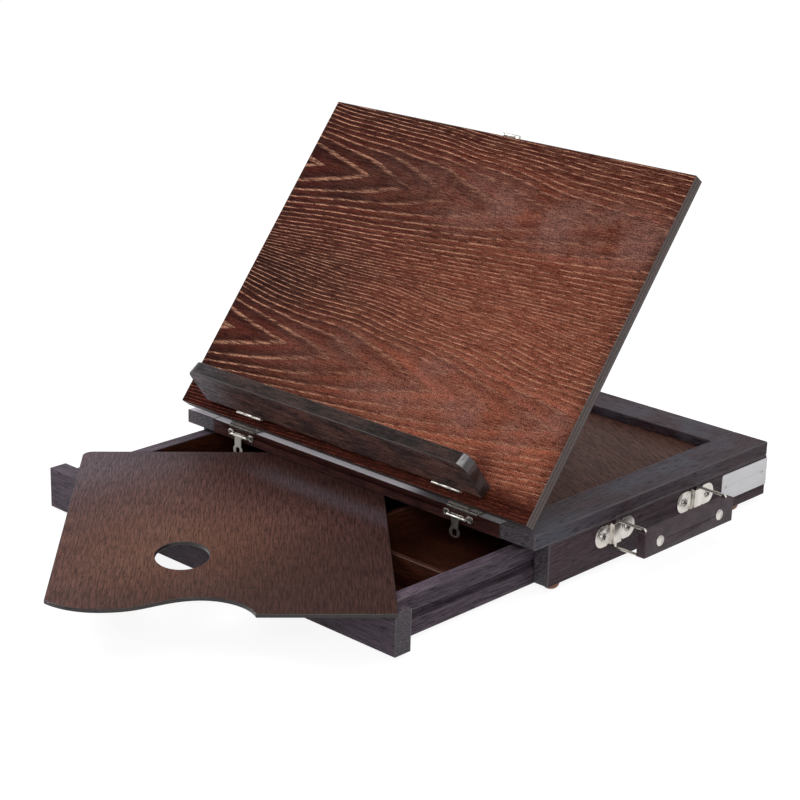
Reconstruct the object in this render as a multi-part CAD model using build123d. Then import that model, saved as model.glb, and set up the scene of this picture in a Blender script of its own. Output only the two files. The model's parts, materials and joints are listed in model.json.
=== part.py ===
from build123d import *
import os

# Table sketch-box easel: a shallow wooden case with a drawer, a palette in the slot above
# the drawer, and a panel that tilts up from the front of the lid frame on a prop.
# Millimetres. +X is to the right, +Y to the back, +Z up. Sizes are laid out from the point
# on the table in the middle of the four feet, and the last lines move the origin below the
# middle of the whole part.

# ---------------------------------------------------------------- driving dimensions

# Case
box_width = 400.0
box_depth = 311.0
frame_thickness = 12.2
rail_width = 35.0
recess_depth = 8.2
rabbet_width = 5.0
wall_thickness = 14.9
wall_height = 35.7
wall_front_inset = 18.2
back_wall_thickness = 15.0

# Feet
foot_height = 5.1
foot_top_radius = 7.0
foot_flat_radius = 4.5
foot_front_inset = 31.0
foot_pitch = 240.0
foot_screw_head_radius = 2.4
foot_screw_sink = 2.6
foot_screw_length = 12.0

# Drawer
drawer_drop = 4.0
drawer_open = 153.15
drawer_front_thickness = 16.45
drawer_front_height = 34.4
drawer_side_thickness = 12.2
drawer_side_height = 33.2
drawer_side_length = 268.0
drawer_back_thickness = 10.0
drawer_side_clearance = 0.5
floor_thickness = 3.0
floor_lift = 2.0
floor_groove_depth = 4.0
runner_groove_drop = 12.8
runner_groove_height = 7.5
runner_groove_depth = 6.0
runner_clearance = 0.3
runner_end_inset = 8.0
divider_thickness = 5.0
divider_drop = 3.8
divider_dado_depth = 3.0
cross_divider_offset = 67.0
short_divider_spacing = 114.0

# Palette
palette_thickness = 3.0
palette_clearance = 0.3
palette_width = 251.0
palette_length = 304.0
palette_turn = 46.59
palette_latch_gap = 19.8
palette_latch_across = 129.8
palette_corner_radius = 9.0
palette_nose_drop = 24.0
thumb_hole_width = 41.0
thumb_hole_length = 53.0
thumb_hole_across = 94.0
thumb_hole_along = 80.5

# Panel
panel_width = 396.0
panel_thickness = 10.65
panel_edge_setback = 3.5
panel_back_setback = 2.8
rest_tilt = 52.0

# Panel hinges
panel_hinge_length = 30.0
panel_hinge_spacing = 254.0
panel_hinge_reach = 14.0
panel_knuckle_radius = 1.5
panel_pin_radius = 0.7
panel_leaf_thickness = 0.9
panel_leaf_gap = 0.2

# Ledge
ledge_length = 318.4
ledge_centre_x = -7.4
ledge_width = 40.0
ledge_thickness = 11.7
ledge_corner_radius = 9.4
ledge_rest_angle = 74.2
ledge_hinge_height_on_panel = 6.77
ledge_knuckle_clearance = 0.1
ledge_edge_setback = 1.9
ledge_hinge_length = 30.0
ledge_hinge_spacing = 226.6
ledge_hinge_reach = 7.6
ledge_leaf_thickness = 0.6
ledge_knuckle_radius = 1.6
ledge_pin_radius = 0.8

# Prop
prop_pivot_distance = 132.0
prop_reach = 133.73
prop_leg_width = 50.0
prop_leg_thickness = 5.0
prop_foot_length = 76.0
prop_foot_radius = 3.0
prop_foot_drop = 1.7
prop_leaf_gap = 0.4
prop_knuckle_clearance = 0.1
prop_hinge_length = 42.0
prop_hinge_reach = 14.0
prop_knuckle_radius = 1.7
prop_pin_radius = 0.8
prop_leg_setback = 2.2
prop_leg_end_setback = 1.5

# Prop rack
rack_strip_width = 10.0
rack_height = 3.0
rack_tooth_depth = 2.0
rack_pitch = 12.0
rack_teeth = 10
rack_front_inset = 90.5

# Thin leaves of the prop hinge and the latches
leaf_thickness = 0.8
knuckle_gap = 0.3
pin_clearance = 0.05

# Latches
latch_spacing = 252.0
latch_centre_x = -4.0
latch_width = 31.0
latch_ear_width = 6.0
latch_ear_height = 6.4
latch_ear_radius = 1.6
latch_knuckle_length = 3.0
latch_knuckle_radius = 1.6
latch_pin_radius = 0.7
latch_axis_drop = 6.4
latch_standoff = 2.6
tongue_length = 16.5
tongue_neck_width = 7.5
tongue_end_width = 11.0
tongue_hole_width = 5.0
tongue_hole_height = 6.0
tongue_hole_drop = 12.6
hook_plate_width = 12.0
hook_plate_above = 2.0
hook_plate_below = 11.0
hook_width = 3.0
hook_height = 3.0
hook_past_tongue = 1.3
hook_screw_spread = 6.4
hook_screw_drop = 6.0
catch_x = 2.5
catch_standoff = 3.2
catch_hook_plate_width = 20.0
catch_hook_plate_above = 4.4
catch_hook_plate_below = 5.0
catch_hook_screw_spread = 13.0

# Carrying handle
handle_name_plate_gap = 12.8
handle_pitch = 107.7
handle_drop = 24.0
handle_plate_length = 50.0
handle_plate_height = 18.0
handle_plate_thickness = 0.8
handle_plate_waist_radius = 3.0
handle_plate_waist_depth = 1.4
handle_plate_waist_offset = 8.0
handle_loop_width = 10.0
handle_loop_height = 17.0
handle_loop_rise = 3.5
handle_screw_offset = 15.7
ring_wire_radius = 1.2
ring_wall_gap = 0.2
ring_reach = 28.85
ring_height = 23.0
ring_drop = 25.1
ring_bend_radius = 1.6
grip_thickness = 8.5
grip_height = 20.0
grip_overhang = 5.5
grip_corner_radius = 1.2
grip_rivet_inset = 14.0
grip_rivet_head_radius = 4.8
grip_rivet_outer_rise = 0.9
grip_rivet_inner_rise = 0.6
grip_rivet_shank_radius = 1.5

# Name plate
name_plate_length = 66.0
name_plate_height = 24.0
name_plate_thickness = 0.8
name_plate_drop = 26.5
name_plate_corner = 2.5
name_nail_inset = 6.0
name_nail_head_radius = 1.6
name_nail_head_rise = 0.6
name_nail_shank_radius = 0.6
name_nail_length = 8.0

# Small countersunk screws, dome-headed handle screws
screw_head_radius = 1.5
screw_head_height = 0.7
screw_shank_radius = 0.8
screw_length = 5.5
wood_screw_head_radius = 2.4
wood_screw_head_height = 1.2
wood_screw_shank_radius = 1.2
wood_screw_length = 8.5
dome_screw_head_radius = 3.8
dome_screw_head_rise = 1.5
dome_screw_length = 10.0
screw_fit = 0.02

# Screws in butt hinge leaves, as shares of the leaf
leaf_screw_spread = 0.6
leaf_screw_reach = 0.7

# ---------------------------------------------------------------- derived places

half_width = box_width / 2
front_y = -(foot_front_inset + foot_pitch / 2)
back_y = front_y + box_depth
case_bottom = foot_height
frame_bottom = case_bottom + wall_height
frame_top = frame_bottom + frame_thickness
recess_floor = frame_top - recess_depth
wall_front_y = front_y + wall_front_inset
wall_inner_x = half_width - wall_thickness
opening_half_width = half_width - rail_width

drawer_top = frame_bottom - drawer_drop
drawer_bottom = drawer_top - drawer_side_height
drawer_back_face_y = wall_front_y - drawer_open
drawer_front_y = drawer_back_face_y - drawer_front_thickness
drawer_end_y = drawer_back_face_y + drawer_side_length
drawer_outer_x = wall_inner_x - drawer_side_clearance
drawer_inner_x = drawer_outer_x - drawer_side_thickness
floor_bottom = drawer_bottom + floor_lift
floor_top = floor_bottom + floor_thickness
runner_groove_top = drawer_top - runner_groove_drop

hinge_y = front_y - panel_knuckle_radius
hinge_z = frame_top + panel_leaf_thickness + panel_leaf_gap / 2
panel_low = hinge_z + panel_leaf_thickness + panel_leaf_gap / 2
panel_high = panel_low + panel_thickness
panel_near_y = hinge_y + panel_edge_setback
panel_far_y = back_y - panel_back_setback

ledge_axis_y = panel_near_y + ledge_hinge_height_on_panel
ledge_hinge_standoff = ledge_knuckle_radius + ledge_knuckle_clearance
ledge_axis_z = panel_high + ledge_hinge_standoff

prop_axis_y = hinge_y + prop_pivot_distance
prop_hinge_standoff = prop_knuckle_radius + prop_knuckle_clearance
prop_axis_z = panel_low - prop_hinge_standoff

latch_screw_spread = latch_width - latch_ear_width
latch_axis_z = frame_top - latch_axis_drop
latch_axis_y = front_y - latch_standoff
latch_x = [latch_centre_x - latch_spacing / 2, latch_centre_x + latch_spacing / 2]
catch_axis_y = panel_far_y + catch_standoff
catch_axis_z = (panel_low + panel_high) / 2

handle_far_y = back_y - name_plate_length - handle_name_plate_gap - handle_plate_length / 2
handle_y = [handle_far_y - handle_pitch, handle_far_y]
handle_z = frame_top - handle_drop
ring_axis_x = half_width + ring_wall_gap + ring_wire_radius
ring_z = frame_top - ring_drop
grip_x = ring_axis_x + ring_reach

# ---------------------------------------------------------------- helpers


def block(x, y, z):
    """A box from three (low, high) pairs."""
    spans = (x, y, z)
    middle = [(low + high) / 2 for low, high in spans]
    return Pos(*middle) * Box(*[high - low for low, high in spans])


def rod(radius, start, end):
    """A round bar from one point to another."""
    run = Vector(*end) - Vector(*start)
    return Plane(origin=start, z_dir=run) * Pos(0, 0, run.length / 2) * Cylinder(radius, run.length)


def cross_rod(radius, x_low, x_high, y=0.0, z=0.0):
    """A round bar along X."""
    return rod(radius, (x_low, y, z), (x_high, y, z))


def turned(*points):
    """A solid turned about Z from (radius, height) points."""
    return revolve(Plane.XZ * make_face(Polyline(*points, points[0])), Axis.Z)


def seated(shape, spot, outward):
    """A shape built at the origin along +Z, moved so that +Z points outward at the spot."""
    return Plane(origin=spot, z_dir=outward) * shape


def countersunk(head_radius, head_height, shank_radius, length, grow=0.0):
    """A countersunk screw with its flat head at height 0."""
    head = head_radius + grow
    shank = shank_radius + grow
    return turned((0, 0), (head, 0), (shank, -head_height), (shank, -length), (0, -length))


def small_screw(grow=0.0):
    return countersunk(screw_head_radius, screw_head_height, screw_shank_radius, screw_length, grow)


def wood_screw(grow=0.0):
    return countersunk(
        wood_screw_head_radius, wood_screw_head_height, wood_screw_shank_radius, wood_screw_length, grow
    )


def dome_screw():
    """A dome-headed screw with the underside of its head at height 0."""
    head = turned(
        (0, 0),
        (dome_screw_head_radius, 0),
        (dome_screw_head_radius * 0.8, dome_screw_head_rise * 0.7),
        (dome_screw_head_radius * 0.4, dome_screw_head_rise),
        (0, dome_screw_head_rise),
    )
    return head + Pos(0, 0, -dome_screw_length / 2) * Cylinder(wood_screw_shank_radius, dome_screw_length)


def dome_screw_hole():
    return Pos(0, 0, -dome_screw_length / 2) * Cylinder(
        wood_screw_shank_radius + screw_fit, dome_screw_length
    )


def place_all(shape, spots, outward):
    return [seated(shape, spot, outward) for spot in spots]


def cut_all(body, tools):
    for tool in tools:
        body = body - tool
    return body


def knuckle_spans(length, count, which):
    """The x spans of every other knuckle of a hinge, the first set or the second."""
    step = length / count
    low = -length / 2
    return [
        (low + i * step + knuckle_gap / 2, low + (i + 1) * step - knuckle_gap / 2)
        for i in range(which, count, 2)
    ]


def hinge_leaf(length, count, which, reach, plate_z, radius, pin_radius):
    """One leaf of a butt hinge about the X axis, its plate running along +Y."""
    leaf = block((-length / 2, length / 2), (0, reach), plate_z)
    for low, high in knuckle_spans(length, count, 1 - which):
        leaf = leaf - cross_rod(radius + knuckle_gap, low - knuckle_gap, high + knuckle_gap)
    for low, high in knuckle_spans(length, count, which):
        leaf = leaf + cross_rod(radius, low, high)
    return leaf - cross_rod(pin_radius + pin_clearance, -length, length)


def tilted(shape):
    """From the closed pose to the rest tilt, about the panel's hinge axis."""
    return shape.rotate(Axis((0, hinge_y, hinge_z), (1, 0, 0)), rest_tilt)


def at_ledge(shape):
    """From the ledge's own frame to its rest pose on the tilted panel."""
    closed = Pos(0, ledge_axis_y, ledge_axis_z) * Rot(ledge_rest_angle, 0, 0) * shape
    return tilted(closed)


def at_prop(shape):
    """From the prop's own frame to its rest pose under the tilted panel."""
    closed = Pos(0, prop_axis_y, prop_axis_z) * Rot(-2 * rest_tilt, 0, 0) * shape
    return tilted(closed)


# ---------------------------------------------------------------- lid frame and case


def hinge_screw_spots(centres, spread, y, z):
    return [(x + side * spread / 2, y, z) for x in centres for side in (-1, 1)]


def small_screws(spots, outward, grow=0.0):
    return place_all(small_screw(grow), spots, outward)


hinge_x = (-panel_hinge_spacing / 2, panel_hinge_spacing / 2)
panel_screw_spread = panel_hinge_length * leaf_screw_spread
panel_screw_y = hinge_y + panel_hinge_reach * leaf_screw_reach
rail_leaf_top = frame_top + panel_leaf_thickness
rail_screw_spots = hinge_screw_spots(hinge_x, panel_screw_spread, panel_screw_y, rail_leaf_top)
rail_screw_holes = place_all(wood_screw(screw_fit), rail_screw_spots, (0, 0, 1))

latch_screw_spots = [
    (x + side * latch_screw_spread / 2, front_y - leaf_thickness, latch_axis_z)
    for x in latch_x
    for side in (-1, 1)
]
latch_screw_holes = small_screws(latch_screw_spots, (0, -1, 0), screw_fit)

catch_hook_z = catch_axis_z - tongue_hole_drop
catch_hook_screw_spots = [
    (catch_x + side * catch_hook_screw_spread / 2, back_y + leaf_thickness, catch_hook_z)
    for side in (-1, 1)
]
catch_hook_screw_holes = small_screws(catch_hook_screw_spots, (0, 1, 0), screw_fit)

foot_x = half_width - wall_thickness / 2
foot_spots = [(x, y) for x in (-foot_x, foot_x) for y in (-foot_pitch / 2, foot_pitch / 2)]


def foot_screw(grow=0.0):
    return countersunk(
        foot_screw_head_radius, wood_screw_head_height, wood_screw_shank_radius, foot_screw_length, grow
    )


foot_screw_spots = [(x, y, foot_screw_sink) for x, y in foot_spots]
foot_screw_holes = place_all(foot_screw(screw_fit), foot_screw_spots, (0, 0, -1))

handle_screw_spots = [
    (half_width + handle_plate_thickness, y + side * handle_screw_offset, handle_z)
    for y in handle_y
    for side in (-1, 1)
]
handle_screw_holes = place_all(dome_screw_hole(), handle_screw_spots, (1, 0, 0))

name_plate_z = frame_top - name_plate_drop
name_nail_spots = [
    (half_width + name_plate_thickness, y, name_plate_z)
    for y in (back_y - name_plate_length + name_nail_inset, back_y - name_nail_inset)
]


def name_nail():
    head = turned(
        (0, 0), (name_nail_head_radius, 0), (name_nail_head_radius / 2, name_nail_head_rise),
        (0, name_nail_head_rise),
    )
    return head + Pos(0, 0, -name_nail_length / 2) * Cylinder(name_nail_shank_radius, name_nail_length)


def name_nail_hole():
    return Pos(0, 0, -name_nail_length / 2) * Cylinder(
        name_nail_shank_radius + screw_fit, name_nail_length
    )


name_nail_holes = place_all(name_nail_hole(), name_nail_spots, (1, 0, 0))


def lid_frame():
    heights = (frame_bottom, frame_top)
    board_x = opening_half_width + rabbet_width
    board_y = (front_y + rail_width - rabbet_width, back_y - rail_width + rabbet_width)
    recess_board = block((-board_x, board_x), board_y, (frame_bottom, recess_floor))
    across = (-opening_half_width, opening_half_width)
    front = block(across, (front_y, front_y + rail_width), heights)
    back = block(across, (back_y - rail_width, back_y), heights)
    left = block((-half_width, -opening_half_width), (front_y, back_y), heights)
    right = block((opening_half_width, half_width), (front_y, back_y), heights)
    return {
        "front_rail": cut_all(front, [recess_board] + rail_screw_holes + latch_screw_holes),
        "back_rail": cut_all(back, [recess_board] + catch_hook_screw_holes),
        "left_rail": left - recess_board,
        "right_rail": right - recess_board,
        "recess_board": recess_board,
    }


def case_walls():
    heights = (case_bottom, frame_bottom)
    left = block((-half_width, -wall_inner_x), (wall_front_y, back_y), heights)
    right = block((wall_inner_x, half_width), (wall_front_y, back_y), heights)
    back = block((-wall_inner_x, wall_inner_x), (back_y - back_wall_thickness, back_y), heights)
    return {
        "left_wall": cut_all(left, foot_screw_holes),
        "right_wall": cut_all(right, foot_screw_holes + handle_screw_holes + name_nail_holes),
        "back_wall": back,
    }


def drawer_runners():
    low = runner_groove_top - runner_groove_height + runner_clearance
    high = runner_groove_top - runner_clearance
    tip = drawer_outer_x - runner_groove_depth + drawer_side_clearance
    run = (wall_front_y + runner_end_inset, back_y - back_wall_thickness - runner_end_inset)
    return [block(sorted((side * tip, side * wall_inner_x)), run, (low, high)) for side in (-1, 1)]


def prop_rack():
    start = front_y + rack_front_inset
    base = recess_floor + rack_height - rack_tooth_depth
    top = recess_floor + rack_height
    outline = [(start, recess_floor), (start, top)]
    for tooth in range(1, rack_teeth + 1):
        outline += [(start + tooth * rack_pitch, base), (start + tooth * rack_pitch, top)]
    end = start + rack_teeth * rack_pitch + rack_pitch / 3
    outline += [(end, top), (end, recess_floor), outline[0]]
    profile = Plane.YZ * make_face(Polyline(*outline))
    strip = extrude(profile, rack_strip_width)
    outer = prop_foot_length / 2
    return [Pos(outer - rack_strip_width, 0, 0) * strip, Pos(-outer, 0, 0) * strip]


def foot():
    middle = ((foot_flat_radius + 3 * foot_top_radius) / 4, foot_height * 0.4)
    side = ThreePointArc((foot_flat_radius, 0), middle, (foot_top_radius, foot_height))
    rest = Polyline((foot_top_radius, foot_height), (0, foot_height), (0, 0), (foot_flat_radius, 0))
    body = revolve(Plane.XZ * make_face([side, rest]), Axis.Z)
    access = Pos(0, 0, foot_screw_sink / 2) * Cylinder(
        foot_screw_head_radius + screw_fit, foot_screw_sink
    )
    screw = seated(foot_screw(screw_fit), (0, 0, foot_screw_sink), (0, 0, -1))
    return body - access - screw


# ---------------------------------------------------------------- hinges


def panel_hinge_leaf(which, plate_z):
    return hinge_leaf(
        panel_hinge_length, 5, which, panel_hinge_reach, plate_z, panel_knuckle_radius, panel_pin_radius
    )


def rail_hinge_leaves():
    outer = -panel_leaf_gap / 2
    leaf = panel_hinge_leaf(0, (outer - panel_leaf_thickness, outer))
    return [cut_all(Pos(x, hinge_y, hinge_z) * leaf, rail_screw_holes) for x in hinge_x]


def hinge_pins():
    half = panel_hinge_length / 2 - knuckle_gap
    return [cross_rod(panel_pin_radius, x - half, x + half, hinge_y, hinge_z) for x in hinge_x]


# ---------------------------------------------------------------- latches


def latch_leaf(standoff):
    """The fixed half of a latch, with a screw in the ear at each end; its knuckle axis is on X."""
    skin = (standoff - leaf_thickness, standoff)
    inner = latch_width / 2 - latch_ear_width
    leaf = block((-inner, inner), skin, (-latch_knuckle_radius, latch_knuckle_radius))
    for side in (-1, 1):
        ear = block(
            sorted((side * inner, side * latch_width / 2)),
            skin,
            (-latch_ear_height / 2, latch_ear_height / 2),
        )
        spot = (side * latch_screw_spread / 2, skin[0], 0)
        ear = fillet(ear.edges().filter_by(Axis.Y), latch_ear_radius)
        low, high = sorted((side * inner, side * (inner - latch_knuckle_length)))
        web = (latch_knuckle_radius - leaf_thickness, latch_knuckle_radius)
        leaf = leaf + ear + cross_rod(latch_knuckle_radius, low, high)
        leaf = leaf + block((low, high), (0, standoff), web)
        leaf = leaf - seated(small_screw(screw_fit), spot, (0, -1, 0))
    return leaf - cross_rod(latch_pin_radius + pin_clearance, -inner, inner)


def latch_tongue():
    """The swinging half of a latch, hanging down from the knuckle axis on X."""
    barrel_half = latch_width / 2 - latch_ear_width - latch_knuckle_length - knuckle_gap
    outer = -latch_knuckle_radius
    skin = (outer, outer + leaf_thickness)
    end_half = tongue_end_width / 2
    neck = block((-tongue_neck_width / 2, tongue_neck_width / 2), skin, (-tongue_hole_drop, 0))
    end = block((-end_half, end_half), skin, (-tongue_length, -tongue_length / 2))
    end = fillet(end.edges().filter_by(Axis.Y), end_half * 0.7)
    hole_half = tongue_hole_height / 2
    hole = block(
        (-tongue_hole_width / 2, tongue_hole_width / 2),
        (outer - 1, outer + 2),
        (-tongue_hole_drop - hole_half, -tongue_hole_drop + hole_half),
    )
    hole = fillet(hole.edges().filter_by(Axis.Y), tongue_hole_width * 0.3)
    tongue = cross_rod(latch_knuckle_radius, -barrel_half, barrel_half) + neck + end - hole
    return tongue - cross_rod(latch_pin_radius + pin_clearance, -latch_width, latch_width)


def latch_pin():
    half = latch_width / 2 - latch_ear_width - knuckle_gap
    return cross_rod(latch_pin_radius, -half, half)


def hook(width, below, above, length, screw_spread, screw_drop):
    """A hook plate whose face lies at Y = 0, its hook standing out along -Y."""
    plate = block((-width / 2, width / 2), (-leaf_thickness, 0), (-below, above))
    stud = block(
        (-hook_width / 2, hook_width / 2), (-length, 0), (-hook_height / 2, hook_height / 2)
    )
    body = plate + stud
    for side in (-1, 1):
        spot = (side * screw_spread / 2, -leaf_thickness, -screw_drop)
        body = body - seated(small_screw(screw_fit), spot, (0, -1, 0))
    return body


def at_latches(shape):
    return [Pos(x, latch_axis_y, latch_axis_z) * shape for x in latch_x]


def at_catch(shape):
    return tilted(Pos(catch_x, catch_axis_y, catch_axis_z) * Rot(0, 0, 180) * shape)


def catch_hook():
    length = catch_axis_y + latch_knuckle_radius + hook_past_tongue - back_y
    shape = hook(
        catch_hook_plate_width, catch_hook_plate_below, catch_hook_plate_above, length,
        catch_hook_screw_spread, 0.0,
    )
    return Pos(catch_x, back_y, catch_hook_z) * Rot(0, 0, 180) * shape


# ---------------------------------------------------------------- panel, ledge and prop

panel_leaf_low = panel_low - panel_leaf_thickness
panel_screw_spots = hinge_screw_spots(hinge_x, panel_screw_spread, panel_screw_y, panel_leaf_low)
panel_screw_holes = place_all(wood_screw(screw_fit), panel_screw_spots, (0, 0, -1))

ledge_hinge_x = (-ledge_hinge_spacing / 2, ledge_hinge_spacing / 2)
ledge_screw_spread = ledge_hinge_length * leaf_screw_spread
ledge_screw_reach = ledge_hinge_reach * leaf_screw_reach
panel_ledge_spots = hinge_screw_spots(
    ledge_hinge_x,
    ledge_screw_spread,
    ledge_axis_y + ledge_screw_reach,
    panel_high + ledge_leaf_thickness,
)
ledge_screw_spots = hinge_screw_spots(
    ledge_hinge_x, ledge_screw_spread, ledge_edge_setback - ledge_leaf_thickness, -ledge_screw_reach
)

prop_screw_spread = prop_hinge_length * leaf_screw_spread
prop_screw_reach = prop_hinge_reach * leaf_screw_reach
prop_leg_top = prop_hinge_standoff - 2 * leaf_thickness - prop_leaf_gap
panel_prop_spots = hinge_screw_spots(
    (0.0,), prop_screw_spread, prop_axis_y + prop_screw_reach, panel_low - leaf_thickness
)
prop_screw_spots = hinge_screw_spots(
    (0.0,), prop_screw_spread, prop_screw_reach, prop_leg_top + leaf_thickness
)

catch_spots = [
    (catch_x + side * latch_screw_spread / 2, panel_far_y + leaf_thickness, catch_axis_z)
    for side in (-1, 1)
]


def panel_small_screws(grow=0.0):
    """Screws of the ledge leaves, the prop leaf and the catch leaf, in the closed pose."""
    return (
        small_screws(panel_ledge_spots, (0, 0, 1), grow)
        + small_screws(panel_prop_spots, (0, 0, -1), grow)
        + small_screws(catch_spots, (0, 1, 0), grow)
    )


def easel_panel():
    body = block(
        (-panel_width / 2, panel_width / 2), (panel_near_y, panel_far_y), (panel_low, panel_high)
    )
    return tilted(cut_all(body, panel_screw_holes + panel_small_screws(screw_fit)))


def panel_hinge_leaves():
    inner = panel_leaf_gap / 2
    leaf = panel_hinge_leaf(1, (inner, inner + panel_leaf_thickness))
    return [tilted(cut_all(Pos(x, hinge_y, hinge_z) * leaf, panel_screw_holes)) for x in hinge_x]


def ledge_leaf(which, plate_z):
    return hinge_leaf(
        ledge_hinge_length, 3, which, ledge_hinge_reach, plate_z, ledge_knuckle_radius, ledge_pin_radius
    )


def panel_ledge_leaves():
    leaf = ledge_leaf(0, (-ledge_hinge_standoff, ledge_leaf_thickness - ledge_hinge_standoff))
    holes = small_screws(panel_ledge_spots, (0, 0, 1), screw_fit)
    closed = [Pos(x, ledge_axis_y, ledge_axis_z) * leaf for x in ledge_hinge_x]
    return [tilted(cut_all(shape, holes)) for shape in closed]


def ledge_hinge_leaves():
    """The leaves under the ledge, screwed up into its lower edge."""
    leaf = ledge_leaf(1, (ledge_edge_setback - ledge_leaf_thickness, ledge_edge_setback))
    holes = small_screws(ledge_screw_spots, (0, -1, 0), screw_fit)
    return [at_ledge(cut_all(Pos(x, 0, 0) * Rot(-90, 0, 0) * leaf, holes)) for x in ledge_hinge_x]


def ledge_hinge_pins():
    half = ledge_hinge_length / 2 - knuckle_gap
    return [at_ledge(cross_rod(ledge_pin_radius, x - half, x + half)) for x in ledge_hinge_x]


def ledge():
    middle = ledge_centre_x
    body = block(
        (middle - ledge_length / 2, middle + ledge_length / 2),
        (ledge_edge_setback, ledge_edge_setback + ledge_width),
        (-ledge_thickness, 0),
    )
    outer_corners = body.edges().filter_by(Axis.Z).group_by(Axis.Y)[-1]
    body = fillet(outer_corners, ledge_corner_radius)
    return at_ledge(cut_all(body, small_screws(ledge_screw_spots, (0, -1, 0), screw_fit)))


def prop_leaf(which, plate_z):
    return hinge_leaf(
        prop_hinge_length, 3, which, prop_hinge_reach, plate_z, prop_knuckle_radius, prop_pin_radius
    )


def panel_prop_leaf():
    leaf = prop_leaf(0, (prop_hinge_standoff - leaf_thickness, prop_hinge_standoff))
    holes = small_screws(panel_prop_spots, (0, 0, -1), screw_fit)
    return tilted(cut_all(Pos(0, prop_axis_y, prop_axis_z) * leaf, holes))


def prop_hinge_leaf():
    leaf = prop_leaf(1, (prop_leg_top, prop_leg_top + leaf_thickness))
    return at_prop(cut_all(leaf, small_screws(prop_screw_spots, (0, 0, 1), screw_fit)))


def prop_hinge_pin():
    half = prop_hinge_length / 2 - knuckle_gap
    return at_prop(cross_rod(prop_pin_radius, -half, half))


def prop_foot():
    half = prop_foot_length / 2
    return cross_rod(prop_foot_radius, -half, half, prop_reach, -prop_foot_drop)


def prop_leg():
    body = block(
        (-prop_leg_width / 2, prop_leg_width / 2),
        (prop_leg_setback, prop_reach - prop_leg_end_setback),
        (prop_leg_top - prop_leg_thickness, prop_leg_top),
    )
    holes = small_screws(prop_screw_spots, (0, 0, 1), screw_fit)
    return at_prop(cut_all(body, [prop_foot()] + holes))


# ---------------------------------------------------------------- drawer

closed_front_y = drawer_front_y + drawer_open
hook_length = closed_front_y - (latch_axis_y - latch_knuckle_radius - hook_past_tongue)
hook_z = latch_axis_z - tongue_hole_drop
latch_hook_screw_spots = [
    (x + side * hook_screw_spread / 2, drawer_front_y - leaf_thickness, hook_z - hook_screw_drop)
    for x in latch_x
    for side in (-1, 1)
]


def drawer():
    heights = (drawer_bottom, drawer_top)
    back_y_inner = drawer_end_y - drawer_back_thickness
    floor = block(
        (-drawer_inner_x - floor_groove_depth, drawer_inner_x + floor_groove_depth),
        (drawer_back_face_y - floor_groove_depth, back_y_inner + floor_groove_depth),
        (floor_bottom, floor_top),
    )
    divider_heights = (floor_top, drawer_top - divider_drop)
    cross_y = drawer_back_face_y + cross_divider_offset
    cross = block(
        (-drawer_inner_x - divider_dado_depth, drawer_inner_x + divider_dado_depth),
        (cross_y, cross_y + divider_thickness),
        divider_heights,
    )
    shorts = [
        block(
            (x - divider_thickness / 2, x + divider_thickness / 2),
            (cross_y + divider_thickness, back_y_inner),
            divider_heights,
        )
        for x in (-short_divider_spacing / 2, short_divider_spacing / 2)
    ]
    front = block(
        (-half_width, half_width),
        (drawer_front_y, drawer_back_face_y),
        (drawer_top - drawer_front_height, drawer_top),
    )
    hook_holes = small_screws(latch_hook_screw_spots, (0, -1, 0), screw_fit)
    sides = []
    for side in (-1, 1):
        spans = sorted((side * drawer_inner_x, side * drawer_outer_x))
        board = block(spans, (drawer_back_face_y, drawer_end_y), heights)
        groove_x = sorted((side * (drawer_outer_x - runner_groove_depth), side * half_width))
        groove = block(
            groove_x,
            (drawer_back_face_y, drawer_end_y),
            (runner_groove_top - runner_groove_height, runner_groove_top),
        )
        sides.append(cut_all(board, [groove, floor, cross]))
    back = block((-drawer_inner_x, drawer_inner_x), (back_y_inner, drawer_end_y), heights)
    return {
        "drawer_front": cut_all(front, [floor] + hook_holes),
        "drawer_left_side": sides[0],
        "drawer_right_side": sides[1],
        "drawer_back": back - floor,
        "drawer_floor": floor,
        "cross_divider": cross,
        "short_dividers": shorts,
    }


def latch_hooks():
    shape = hook(
        hook_plate_width, hook_plate_below, hook_plate_above, hook_length, hook_screw_spread,
        hook_screw_drop,
    )
    return [Pos(x, drawer_front_y, hook_z) * shape for x in latch_x]


# ---------------------------------------------------------------- palette


def palette():
    """A thin board turned in plan in front of the left latch; its own Y runs along it."""
    nose = palette_nose_drop
    bay = Spline(
        (palette_width * 0.6, -nose),
        (palette_width * 0.52, 0.0),
        (palette_width * 0.45, nose * 0.2),
        (palette_width * 0.356, 0.0),
        (palette_width * 0.25, -nose * 0.53),
        (palette_width * 0.175, -nose * 0.67),
        (palette_width * 0.11, -nose * 0.62),
        (palette_width * 0.05, -nose * 0.39),
        (0.0, 0.0),
    )
    straight = Polyline(
        (0.0, 0.0),
        (0.0, palette_length),
        (palette_width, palette_length),
        (palette_width, -nose),
        (palette_width * 0.6, -nose),
    )
    board = extrude(make_face([bay, straight]), palette_thickness)
    back_corners = board.edges().filter_by(Axis.Z).group_by(Axis.Y)[-1]
    board = fillet(back_corners, palette_corner_radius)
    thumb_hole = Pos(thumb_hole_across, thumb_hole_along, 0) * extrude(
        Ellipse(thumb_hole_width / 2, thumb_hole_length / 2), palette_thickness
    )
    at_latch = Pos(latch_x[0], latch_axis_y - latch_knuckle_radius, drawer_top + palette_clearance)
    from_latch = Pos(-palette_latch_across, -palette_length - palette_latch_gap, 0)
    return at_latch * Rot(0, 0, palette_turn) * from_latch * (board - thumb_hole)


# ---------------------------------------------------------------- carrying handle


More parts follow.
